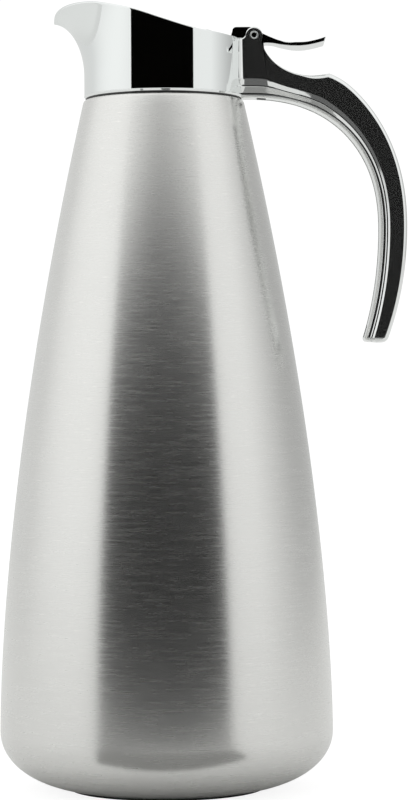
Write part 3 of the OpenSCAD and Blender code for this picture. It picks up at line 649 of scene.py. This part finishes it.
ear_foot_z, handle_foot_z = 290 * MM, 277.5 * MM
slot_half, slot_floor_z, slot_start_x, slot_end_x = 5.2 * MM, 286.5 * MM, 27.4 * MM, 51.4 * MM
channel_start_x = 36.4 * MM


def square_arc(a, rx, rz_up, rz_down, power):
    """A point on an arc that is a little squarer than an ellipse above the apex and plain below it."""
    c, s = math.cos(math.radians(a)), math.sin(math.radians(a))
    if a > 0:
        return rx * max(0.0, c) ** (2 / power), rz_up * s ** (2 / power)
    return rx * c, rz_down * s


def inner_point(a):
    """Side view of the hook's inner side, from the apex angle 0 up to the root at 90."""
    x, z = square_arc(a, inner_rx, inner_up, inner_down, inner_power)
    return Vector((handle_cx + x, apex_z + z))


def outer_point(a):
    """Side view of the hook's outer side; it falls a little towards the crest."""
    x, z = square_arc(a, outer_rx, outer_up, outer_down, outer_power)
    fall = crest_fall * max(0.0, (a - fall_angle) / (crest_angle - fall_angle)) ** 2
    return Vector((handle_cx + x, apex_z + 1 * MM - fall + z))


def scoop_point(a):
    """Side view of the scoop between the crest and the ears."""
    c, s = math.cos(math.radians(a)), math.sin(math.radians(a))
    return Vector((scoop_x - scoop_rx * c, scoop_z - scoop_rz * s))


def ease(t):
    """0 to 1 with a soft start and end."""
    t = min(1.0, max(0.0, t))
    return t * t * (3 - 2 * t)


def handle_section(thick, wide, up, outer_round, channel):
    """Half of the section as (depth from the inner side, half width), inner side first.

    up runs 0 to 1 from the apex to the root and widens the two bevels."""
    t, w, r = thick / MM, wide / MM, outer_round / MM
    lip = 2.0 - 0.4 * up
    chamfer = 0.5 + 1.9 * up * up
    bevel = 0.9 + 1.4 * up * up
    steep = 0.55 + 0.2 * up
    bevel_lean = 0.51 * bevel
    seam_y = w - bevel_lean - steep * chamfer
    groove = 0.22
    if channel:
        line = [(1.7, 0.0), (1.7, 3.3), (1.6, 3.5), (0.15, 3.5), (0.02, 3.62)]
    else:
        line = [(0.0, 0.0), (0.0, 1.2), (0.0, 2.4), (0.0, 3.3), (0.0, 3.62)]
    side = min(3.0, seam_y - 3.7)
    line += quarter(lip, seam_y - side, lip, side, 180, 90, 10)
    line += [(lip + 0.06, seam_y - groove), (lip + 0.16, seam_y - groove), (lip + groove, seam_y + 0.01)]
    depth = lip + groove
    for share in (0.1, 0.5, 0.9, 1.0):
        line.append((depth + chamfer * share, seam_y + steep * chamfer * share))
    depth += chamfer
    flat_y = w - bevel_lean + 0.01
    line += [(depth + 0.04, flat_y), (depth + 0.36, flat_y)]
    depth += 0.4
    line += [(depth + bevel * share, flat_y + (w - flat_y) * share) for share in (0.0, 0.1, 0.5, 0.9, 1.0)]
    depth += bevel
    for share in (0.03, 0.5, 0.97):
        line.append((depth + (t - r - depth) * share, w))
    line += quarter(t - r, w - r, r, r, 90, 0, 10)
    crown = 0.25 * min(1.0, r)
    line += [(t + crown * (1 - share**2), (w - r) * share) for share in (0.9, 0.6, 0.3, 0.0)]
    return [(d * MM, y * MM) for d, y in line]


def section_ring(inner, outer, half):
    """Places a half section between two points of the side view and mirrors it across the handle."""
    along = (outer - inner).normalized()
    points = [(inner + along * d, y) for d, y in half]
    ring = [(p.x, -y, p.y) for p, y in points]
    ring += [(p.x, y, p.y) for p, y in reversed(points[1:-1])]
    return ring


def rooted(ring):
    """Spreads the cheeks in a fillet where they meet the round collar, and ends them inside its wall.

    The fillet is slim at the ears and wide at the foot of the handle."""
    spread = []
    for x, y, z in ring:
        root_round = ear_fillet + low_fillet * ease((ear_foot_z - z) / (18 * MM))
        root_round += foot_fillet * ease((handle_foot_z - z) / (8 * MM))
        start_x = math.sqrt((collar_r + root_round) ** 2 - (half_w + root_round) ** 2)
        near = min(0.985 * root_round, max(0.0, start_x - x))
        grow = root_round - math.sqrt(root_round**2 - near**2)
        y += math.copysign(grow * min(1.0, abs(y) / half_w) ** 4, y)
        spread.append((max(x, math.sqrt((collar_r - 0.8 * MM) ** 2 - y * y)), y, z))
    return spread


stations = []
for k in range(72):
    a = -tip_angle + (crest_angle + tip_angle) * k / 71
    stations.append((inner_point(a), outer_point(a), arch_round, max(0.0, a) / 85))
crest = outer_point(crest_angle)
landing = scoop_point(84)
root = []
for k in range(1, 6):
    t = k / 6
    through = Vector((landing.x + 2.6 * MM, landing.y - 0.2 * MM))
    root.append(crest * (1 - t) ** 2 + through * 2 * t * (1 - t) + landing * t * t)
root += [scoop_point(84 - 74 * k / 22) for k in range(23)]
for k in range(15):
    t = math.radians(10 + 170 * k / 14)
    root.append(Vector((pivot_x + ear_r * math.cos(t), pivot_z + ear_r * math.sin(t))))
for k, outer in enumerate(root):
    share = (k + 1) / len(root)
    turn = crest_angle + (90 - crest_angle) * min(1.0, share / 0.9)
    inner = inner_point(turn)
    inner.x -= max(0.0, share - 0.9) / 0.1 * 0.9 * MM
    outer_round = ear_round + (arch_round - ear_round) * ease(1 - k / 8)
    stations.append((inner, outer, outer_round, min(1.0, turn / 85)))
root_z = inner_point(90).y
into_wall = [
    (31.7, 292.75), (31.3, 292.4), (30.9, 292.2), (30.5, 292.05),
    (30.1, 291.95), (29.7, 291.9), (29.3, 291.85),
]
for x, z in into_wall:
    stations.append((Vector((x * MM, root_z)), Vector((x * MM, z * MM)), ear_round, 1.0))

rings = []
inner, outer, outer_round, up = stations[0]
down = (stations[0][0] - stations[1][0]).normalized()
for k in range(10, -1, -1):
    t = math.radians(90 * k / 10)
    inset = tip_round * (1 - math.cos(t))
    middle = (inner + outer) / 2 + down * tip_round * math.sin(t)
    reach = (outer - inner) / 2 * (1 - inset / ((outer - inner).length / 2))
    half = handle_section((2 * reach).length, half_w - inset, up, outer_round, k == 0)
    rings.append(section_ring(middle - reach, middle + reach, half))
for inner, outer, outer_round, up in stations[1:]:
    has_channel = inner.x > channel_start_x
    half = handle_section((outer - inner).length, half_w, up, outer_round, has_channel)
    rings.append(rooted(section_ring(inner, outer, half)))
handle_chrome = chrome_finish("handle chrome", (0.86, 0.87, 0.865), 0.05, metallic=0.975)
handle = loft("handle_shell_chrome", rings, handle_chrome, capped=True, corner=22)


def cutter(name, centre, size=None, radius=None, length=None):
    """A box, or a round bar along Y, that a piece is cut with."""
    shape = bmesh.new()
    if size:
        bmesh.ops.create_cube(shape, size=1.0)
        for point in shape.verts:
            point.co = Vector(c + p * s for c, p, s in zip(centre, point.co, size))
    else:
        bmesh.ops.create_cone(
            shape, cap_ends=True, segments=64, radius1=radius, radius2=radius, depth=length,
        )
        for point in shape.verts:
            x, y, z = point.co
            point.co = Vector((centre[0] + x, centre[1] + z, centre[2] - y))
    made = bpy.data.meshes.new(name)
    shape.to_mesh(made)
    shape.free()
    tool = bpy.data.objects.new(name, made)
    bpy.context.collection.objects.link(tool)
    return tool


def cut(piece, *tools, corner=30):
    """Takes the tools' shapes out of the piece and removes the tools."""
    for tool in tools:
        step = piece.modifiers.new("Cut", "BOOLEAN")
        step.operation = "DIFFERENCE"
        step.solver = "EXACT"
        step.object = tool
    baked(piece)
    for tool in tools:
        bpy.data.objects.remove(tool)
    smooth_faces(piece, corner)


slot_middle = ((slot_start_x + slot_end_x) / 2, 0, slot_floor_z + 10 * MM)
cut(
    handle,
    cutter("hinge slot", slot_middle, (slot_end_x - slot_start_x, 2 * slot_half, 20 * MM)),
    cutter("pin hole", (pivot_x, 0, pivot_z), radius=1.78 * MM, length=20 * MM),
)
stands_for(handle, jug, "chrome", "handle_shell")


# Strip along the inner side of the handle, its steel core and the cap at the free end.
# Real piece: a chromed strip pressed into the handle's channel over a steel core, a black plug at the end.
# The strip is slightly crowned and stands just below the lips of the channel.
def strip_ring(a, low, high, wide):
    """The strip's section across the handle at angle a, from low to high behind the inner side."""
    here, ahead = inner_point(a), inner_point(a + 0.5)
    along = (ahead - here).normalized()
    out = Vector((along.y, -along.x))
    edge, crown = 0.25 * MM, 0.16 * MM
    half_line = [(low - 0.75 * crown, wide * 0.5), (low, wide - edge), (low + edge, wide), (high, wide)]
    line = [(d, -y) for d, y in reversed(half_line)] + [(low - crown, 0.0)] + half_line
    return [((here + out * d).x, y, (here + out * d).y) for d, y in line]


strip_start, strip_end = -25.5, 84
strip_turns = [strip_start + (strip_end - strip_start) * k / 79 for k in range(80)]
strip = loft(
    "handle_strip_chrome", [strip_ring(a, 0.25 * MM, 1.6 * MM, 3.4 * MM) for a in strip_turns],
    chrome, capped=True, corner=40,
)
stands_for(strip, jug, "chrome", "handle_strip")
dress("handle_core", satin_steel)
dress("handle_end_cap", black_plastic)
screw_steel = bare_metal("screw steel", (0.5, 0.5, 0.5), (0.38, 0.38, 0.38), 0.3, 0.08, 0.2, 200.0)
dress("handle_screws", screw_steel)


# Hinge pin, its washers and the torsion spring.
# Real piece: a bright hollow-ended pin through both ears, nylon washers beside the hub, and a wound steel
# spring that presses the lid shut.
def pin_ring(y, r):
    """A ring round the pin's axis."""
    turns = [2 * math.pi * k / 64 for k in range(64)]
    return [(pivot_x + r * math.cos(t), y, pivot_z + r * math.sin(t)) for t in turns]


face_y = half_w + 0.12 * MM
recess, bead_r, bead_round = 0.8 * MM, 1.34, 0.3
pin_line = [(-face_y + recess, r) for r in (0.02, 0.5, 0.9, 1.0)]
pin_line += [
    (-face_y + (bead_round - y) * MM, r)
    for r, y in quarter(bead_r, 0.0, bead_round, bead_round, 180, 0, 10)
]
pin_line += [(-y, r) for y, r in reversed(pin_line)]
pin = loft("hinge_pin_bright", [pin_ring(y, r * MM) for y, r in pin_line], chrome, capped=True, corner=38)
stands_for(pin, jug, "chrome", "hinge_pin")
nylon = moulded("natural nylon", (0.82, 0.81, 0.76), (0.74, 0.73, 0.68), 0.4, 1500.0, 120.0, 0.1)
dress("hinge_washers", nylon)


def spring_tree(finish):
    """Wire wound on a helix round the pin, with one leg running down to the slot's floor."""
    tree, given, gives = blank_group(
        "GeometryNodeTree", "Wound spring",
        [("Wire Radius", "NodeSocketFloat", 0.3 * MM), ("Coil Radius", "NodeSocketFloat", 2.95 * MM),
         ("Turns", "NodeSocketFloat", 5.0), ("Width", "NodeSocketFloat", 3.5 * MM),
         ("Leg Drop", "NodeSocketFloat", 6.4 * MM)],
        [("Geometry", "NodeSocketGeometry")],
    )
    helix = named(
        tree, "GeometryNodeCurveSpiral", Resolution=24, Rotations=given["Turns"],
        Start_Radius=given["Coil Radius"], End_Radius=given["Coil Radius"], Height=given["Width"],
    )
    half_width = calc(tree, "DIVIDE", given["Width"], 2.0)
    shift = node(tree, "ShaderNodeCombineXYZ", pivot_x, half_width, pivot_z)
    coil = named(
        tree, "GeometryNodeTransform", Geometry=helix, Translation=shift, Rotation=(math.radians(90), 0, 0),
    )
    side = calc(tree, "DIVIDE", given["Width"], -2.0)
    from_x = calc(tree, "SUBTRACT", pivot_x, given["Coil Radius"])
    low = calc(tree, "SUBTRACT", pivot_z, given["Leg Drop"])
    leg = named(
        tree, "GeometryNodeCurvePrimitiveLine",
        Start=node(tree, "ShaderNodeCombineXYZ", from_x, side, pivot_z),
        End=node(tree, "ShaderNodeCombineXYZ", pivot_x, side, low),
    )
    paths = tree.nodes.new("GeometryNodeJoinGeometry")
    tree.links.new(coil, paths.inputs[0])
    tree.links.new(leg, paths.inputs[0])
    wire = named(tree, "GeometryNodeCurvePrimitiveCircle", Resolution=12, Radius=given["Wire Radius"])
    tube = named(
        tree, "GeometryNodeCurveToMesh", Curve=paths.outputs[0], Profile_Curve=wire, Fill_Caps=True,
    )
    close_tree(tree, tube, finish, gives)
    return tree


spring_steel = bare_metal("spring steel", (0.42, 0.42, 0.43), (0.3, 0.3, 0.31), 0.28, 0.07, 0.3, 400.0)
spring = grown("lever_spring_wire", spring_tree(spring_steel))
face_out(spring)
smooth_faces(spring, 60)
stands_for(spring, jug, "spring_steel", "lever_spring")


# Thumb lever.
# Real piece: one chromed casting, with a tongue fixed on the lid, a block over the rim, a hub between the
# ears and a curved plate for the thumb. It turns on the pin by a bush of acetal.
hub_half, hub_r, tongue_rise = 4.6 * MM, 3.5 * MM, 1.3 * MM
plate_half, plate_corner = 8.25 * MM, 0.5
tongue_start_x, tongue_full_x, block_start_x, over_lid = 16 * MM, 17.5 * MM, 26.2 * MM, 0.05 * MM
block_under_z, block_top_z = 292.6 * MM, 297 * MM
plate_top = [
    (39.0, 294.4), (42, 293.0), (45.9, 291.45), (49.8, 290.75),
    (54.9, 290.6), (59.4, 291.4), (63.4, 292.6),
]
plate_under = [
    (38.9, 290.6), (42.7, 290.5), (45.9, 289.8), (50.4, 289.15),
    (54.9, 289.15), (59.4, 289.95), (62.9, 290.9),
]
ball_x, ball_z, ball_r = -27.5 * MM, 162.76 * MM, 139.4 * MM


def lid_top(x, above=0.0):
    """Side view of a point over the middle of the lid's crowned top."""
    return Vector((x, ball_z + math.sqrt((ball_r + above) ** 2 - (x - ball_x) ** 2)))


def plate_point(knots, share, first_slope, last_slope):
    """Side view of a point a share of the way along the thumb plate."""
    x = knots[0][0] + (knots[-1][0] - knots[0][0]) * share
    return Vector((x, smooth_through(knots, x, first_slope, last_slope))) * MM


lever_rows = []
for k in range(6):
    share = k / 5
    x = tongue_start_x + (tongue_full_x - tongue_start_x) * share
    rise = tongue_rise * math.sqrt(1 - (1 - share) ** 2) if k else 0.3 * MM
    wide = hub_half - 1.0 * MM * (1 - ease(share))
    lever_rows.append((lid_top(x, over_lid), lid_top(x, over_lid + rise), wide))
for k in range(1, 12):
    x = tongue_full_x + (block_start_x - tongue_full_x) * k / 11
    lever_rows.append((lid_top(x, over_lid), lid_top(x, over_lid + tongue_rise), hub_half))
for k, (x, z) in enumerate(quarter(28.5 * MM, 295.5 * MM, 1.5 * MM, 1.5 * MM, 180, 90, 6)):
    low = lid_top(block_start_x + (0.2 + 0.2 * k) * MM, over_lid)
    lever_rows.append((low, Vector((x, z)), hub_half))
for low_x, high_x, step in ((28.0, 29.4, 0.05), (28.8, 30.4, 0.0), (30.0, 31.8, 0.0), (31.4, 33.6, 0.0)):
    low = Vector((low_x * MM, block_under_z + step * MM))
    lever_rows.append((low, Vector((high_x * MM, block_top_z)), hub_half))
for k in range(13):
    low = math.radians(192 + 103 * k / 12)
    high = math.radians(90 - 70 * k / 12)
    lever_rows.append((
        Vector((pivot_x + hub_r * math.cos(low), pivot_z + hub_r * math.sin(low))),
        Vector((pivot_x + hub_r * math.cos(high), pivot_z + hub_r * math.sin(high))), hub_half,
    ))
for k in range(1, 49):
    share = 1 - (1 - k / 48) ** 2
    x = plate_top[0][0] + (plate_top[-1][0] - plate_top[0][0]) * share
    wide = hub_half + (plate_half - hub_half) * ease((x - 41.4) / 13)
    past = (x - plate_top[-1][0]) / plate_corner + 1
    if past > 0:
        wide = plate_half - plate_corner * MM * (1 - math.sqrt(max(0.0, 1 - past**2)))
    low, high = plate_point(plate_under, share, 0.1, 0.3), plate_point(plate_top, share, -0.55, 0.32)
    lever_rows.append((low, high, wide))


def slab_section(thick, wide, rounding):
    """Half of a rounded slab's section as (depth, half width)."""
    r = min(rounding, thick * 0.45, wide * 0.45)
    edge = wide - r
    line = [(0.0, 0.0), (0.0, edge * 0.5), (0.0, edge - 0.02 * MM)]
    line += quarter(r, edge, r, r, 180, 90, 5) + [(thick * 0.5, wide)]
    line += quarter(thick - r, edge, r, r, 90, 0, 5)
    line += [(thick, edge - 0.02 * MM), (thick, edge * 0.5), (thick, 0.0)]
    return line


lever_rings = []
for low, high, wide in lever_rows:
    rounding = 0.7 * MM if high.x < 26.8 * MM else 0.13 * MM
    lever_rings.append(section_ring(low, high, slab_section((high - low).length, wide, rounding)))
lever = loft("thumb_lever_chrome", lever_rings, chrome, capped=True, corner=32)
cut(
    lever,
    cutter("bush hole", (pivot_x, 0, pivot_z), radius=2.42 * MM, length=20 * MM),
    cutter("spring window", (pivot_x, 0, pivot_z), radius=4.0 * MM, length=5.2 * MM),
)
stands_for(lever, lid, "chrome", "thumb_lever")
acetal = moulded("acetal", (0.78, 0.77, 0.71), (0.7, 0.69, 0.63), 0.35, 1500.0, 120.0, 0.08)
dress("lever_bush", acetal)


# Lid plate.
# Real piece: a chromed disc, slightly crowned, that closes the collar a little below its rim and falls
# towards the hinge. Its edge is turned down and rounded.
slope = math.radians(11.6)
edge_z, lid_r, lid_wall = 296.6 * MM, 27.8 * MM, 1.6 * MM
edge_r, skirt_drop, skirt_wall = 0.5 * MM, 2.4 * MM, 1.4 * MM


def lid_height(x, y, below):
    """Height of the crowned surface over a point of the plan, or of one lying below it."""
    return ball_z + math.sqrt((ball_r - below) ** 2 - (x - ball_x) ** 2 - y * y)


def lid_ring(t):
    """The lid's section at angle t: crowned top, rounded edge, turned-down skirt and underside."""
    c, s = math.cos(t), math.sin(t)
    line = []
    for k in range(25):
        r = 0.02 * MM + (lid_r - edge_r) * k / 24
        line.append((r, lid_height(-r * c, r * s, 0.0)))
    rim = lid_height(-lid_r * c, lid_r * s, 0.0)
    line += quarter(lid_r - edge_r, rim - edge_r, edge_r, edge_r + 0.07 * MM, 60, 0, 4)
    skirt_z = edge_z + lid_r * c * math.tan(slope) - skirt_drop
    line += [(lid_r, skirt_z + 0.2 * MM), (lid_r - 0.2 * MM, skirt_z)]
    line.append((lid_r - skirt_wall + 0.2 * MM, skirt_z))
    for r in (lid_r - skirt_wall, 20 * MM, 10 * MM, 0.02 * MM):
        line.append((r, lid_height(-r * c, r * s, lid_wall)))
    return [(-r * c, r * s, z) for r, z in line]


lid_plate = loft(
    "lid_plate_chrome", [lid_ring(2 * math.pi * k / 192) for k in range(192)],
    chrome_finish("lid chrome", (0.85, 0.86, 0.86), 0.045), round_trip=True,
)
stands_for(lid_plate, lid, "chrome", "lid_plate")


# Plug, its seal, the foam inside it and the three screws from below.
# Real piece: a hollow black plug filled with foam, with a silicone seal that rests on the liner's shelf.
# All four stay as their CAD solids.
dress("lid_plug", black_plastic)
foam = moulded("foam", (0.86, 0.83, 0.7), (0.76, 0.73, 0.6), 0.85, 900.0, 90.0, 0.6)
dress("lid_insulation", foam)
dress("lid_seal", silicone)
dress("lid_screws", satin_steel)


# Room: a floor that looks evenly white from the camera, white surroundings, soft lights and a dark board
# on the camera's side. The board gives the steel its dark band, and a dark cloth on the floor carries the
# band down towards the foot; a grey sheet right in front of the foot is painted contact shadow, and the
# floor shows the metal a dark grey copy of itself, painted shade.
# Board, cloth and grey sheet show only where the metal reflects them; the glow of the lights is in the
# world.
# Floor: evenly white to the camera; to every other ray it is a dark grey copy, painted shade that the metal
# reflects.
floor_finish, tree, shader = finish_of("pale floor", Roughness=0.9, Specular_IOR_Level=0.0)
seen_straight = node(tree, "ShaderNodeLightPath", out=0)
cloud = placed(tree, moulded_grain, Grain_Size=400.0, Cloud_Size=3.0)
floor_shade_in_reflections = blend_colours(tree, cloud["Cloud"], (0.2, 0.2, 0.2), (0.24, 0.24, 0.24))
socket_value(shader["Base Color"], blend_colours(tree, seen_straight, (0.8, 0.8, 0.795), floor_shade_in_reflections), tree)
shader["Emission Color"].default_value = (1, 1, 1, 1)
socket_value(shader["Emission Strength"], calc(tree, "MULTIPLY", seen_straight, 0.88), tree)
floor = mesh_piece("floor", [(-6, -6, 0), (6, -6, 0), (6, 6, 0), (-6, 6, 0)], [(0, 1, 2, 3)], floor_finish)


def matt_cloth_and_shade(name, dark, darker):
    """Matt finish without any shine, for cloth and for painted shade."""
    made, tree, shader = finish_of(name, Roughness=1.0, Specular_IOR_Level=0.0)
    cloud = placed(tree, moulded_grain, Grain_Size=30.0, Cloud_Size=2.0)
    socket_value(shader["Base Color"], blend_colours(tree, cloud["Cloud"], dark, darker), tree)
    return made


def dark_sheet(name, corners, finish):
    """A sheet that is only seen reflected in the metal."""
    made = mesh_piece(name, corners, [tuple(range(len(corners)))], finish)
    made.visible_camera = False
    made.visible_shadow = False
    made.visible_diffuse = False


board_y, board_top, left_x, right_x = -1.25, 0.87, -1.31, 1.215
velvet = matt_cloth_and_shade("black velvet", (0.0006, 0.0005, 0.0004), (0.001, 0.0008, 0.0006))
board_corners = ((left_x, 0.0), (right_x, 0.0), (right_x, board_top), (left_x, board_top))
dark_sheet("dark board", [(x, board_y, z) for x, z in board_corners], velvet)
cloth_z = 0.001
far_cloth = [
    (left_x, board_y), (right_x, board_y), (0.24, -0.27), (0.04, -0.225),
    (-0.01, -0.23), (-0.09, -0.253), (-0.19, -0.297), (-0.40, -0.42),
]
# Painted contact shadow: a grey sheet on the floor in front of the foot, standing for the shade the jug
# casts there, seen only in the metal.
contact_shade_outline = [
    (0.055, -0.069), (-0.04, -0.069), (-0.16, -0.185), (-0.17, -0.215),
    (-0.09, -0.185), (-0.01, -0.165), (0.12, -0.15),
]
dark_cloth = matt_cloth_and_shade("dark cloth", (0.11, 0.11, 0.11), (0.13, 0.13, 0.13))
# The second finish is the matt grey of the painted contact shadow sheet.
contact_shade_finish = matt_cloth_and_shade("painted contact shade", (0.27, 0.27, 0.265), (0.31, 0.31, 0.305))
dark_sheet("far floor cloth", [(x, y, cloth_z) for x, y in far_cloth], dark_cloth)
dark_sheet("painted contact shade sheet", [(x, y, cloth_z) for x, y in contact_shade_outline], contact_shade_finish)

jug_middle = Vector((0, 0, 0.16))
for name, place, size, strength in (
    ("left soft light", (-2.1, -0.6, 1.3), (2.4, 1.6), 0.27),
    ("right soft light", (2.0, -0.9, 1.2), (1.8, 1.5), 0.17),
    ("top soft light", (0.0, 0.2, 1.9), (1.6, 1.6), 0.3),
):
    lamp = bpy.data.lights.new(name, "AREA")
    lamp.shape = "RECTANGLE"
    lamp.size, lamp.size_y = size
    lamp.energy = strength * math.pi * size[0] * size[1]
    holder = bpy.data.objects.new(name, lamp)
    holder.location = place
    holder.rotation_mode = "QUATERNION"
    aim = jug_middle - Vector(place)
    holder.rotation_quaternion = aim.to_track_quat("-Z", "Y")
    holder.visible_camera = False
    holder.visible_glossy = False
    bpy.context.collection.objects.link(holder)

# Nearly even white, a little darker behind and to the right, with a soft glow towards the side lights.
world = bpy.data.worlds.new("white room")
world.use_nodes = True
bpy.context.scene.world = world
tree = world.node_tree
tree.nodes.clear()
way_in = node(tree, "ShaderNodeTexCoord", out=0)
way = split(tree, way_in)
behind_right = calc(tree, "MULTIPLY_ADD", way[0], 0.8, calc(tree, "MULTIPLY", way[1], 0.6))
shade = node(tree, "ShaderNodeMapRange", behind_right, 0.6, 1.0, 0.0, 0.27)
behind = node(tree, "ShaderNodeMapRange", way[1], 0.3, 1.0, 0.0, 0.06)
rise = calc(tree, "MULTIPLY_ADD", calc(tree, "MAXIMUM", way[2], 0.0), 0.1, 0.78)
level = calc(tree, "SUBTRACT", calc(tree, "SUBTRACT", rise, shade), behind)
for toward, glow in (((-0.77, -0.22, 0.6), 0.27), ((0.73, -0.35, 0.59), 0.17)):
    facing = node(tree, "ShaderNodeVectorMath", way_in, toward, operation="DOT_PRODUCT", out=1)
    limits = (0.55, 1.0, 0.0, glow)
    lobe = node(tree, "ShaderNodeMapRange", facing, *limits, interpolation_type="SMOOTHSTEP")
    level = calc(tree, "ADD", level, lobe)
seen = node(tree, "ShaderNodeBackground", (1, 1, 1, 1), 1.05)
lit = node(tree, "ShaderNodeBackground", (0.99, 1.0, 0.99, 1), level)
mix = node(tree, "ShaderNodeMixShader", node(tree, "ShaderNodeLightPath", out=0), lit, seen)
ending = tree.nodes.new("ShaderNodeOutputWorld")
tree.links.new(mix, ending.inputs[0])
bpy.context.scene.view_settings.view_transform = "Standard"

# Camera: a long lens a little over a metre in front, level, rolled by 0.3 degrees.
eye = bpy.data.cameras.new("camera")
eye.lens = 123.75
eye.sensor_width = 36
eye.clip_start, eye.clip_end = 0.05, 50
camera = bpy.data.objects.new("camera", eye)
camera.location = (0.0154, -1.077, 0.1515)
camera.rotation_euler = (math.radians(90), 0.0052, 0)
bpy.context.collection.objects.link(camera)
bpy.context.scene.camera = camera
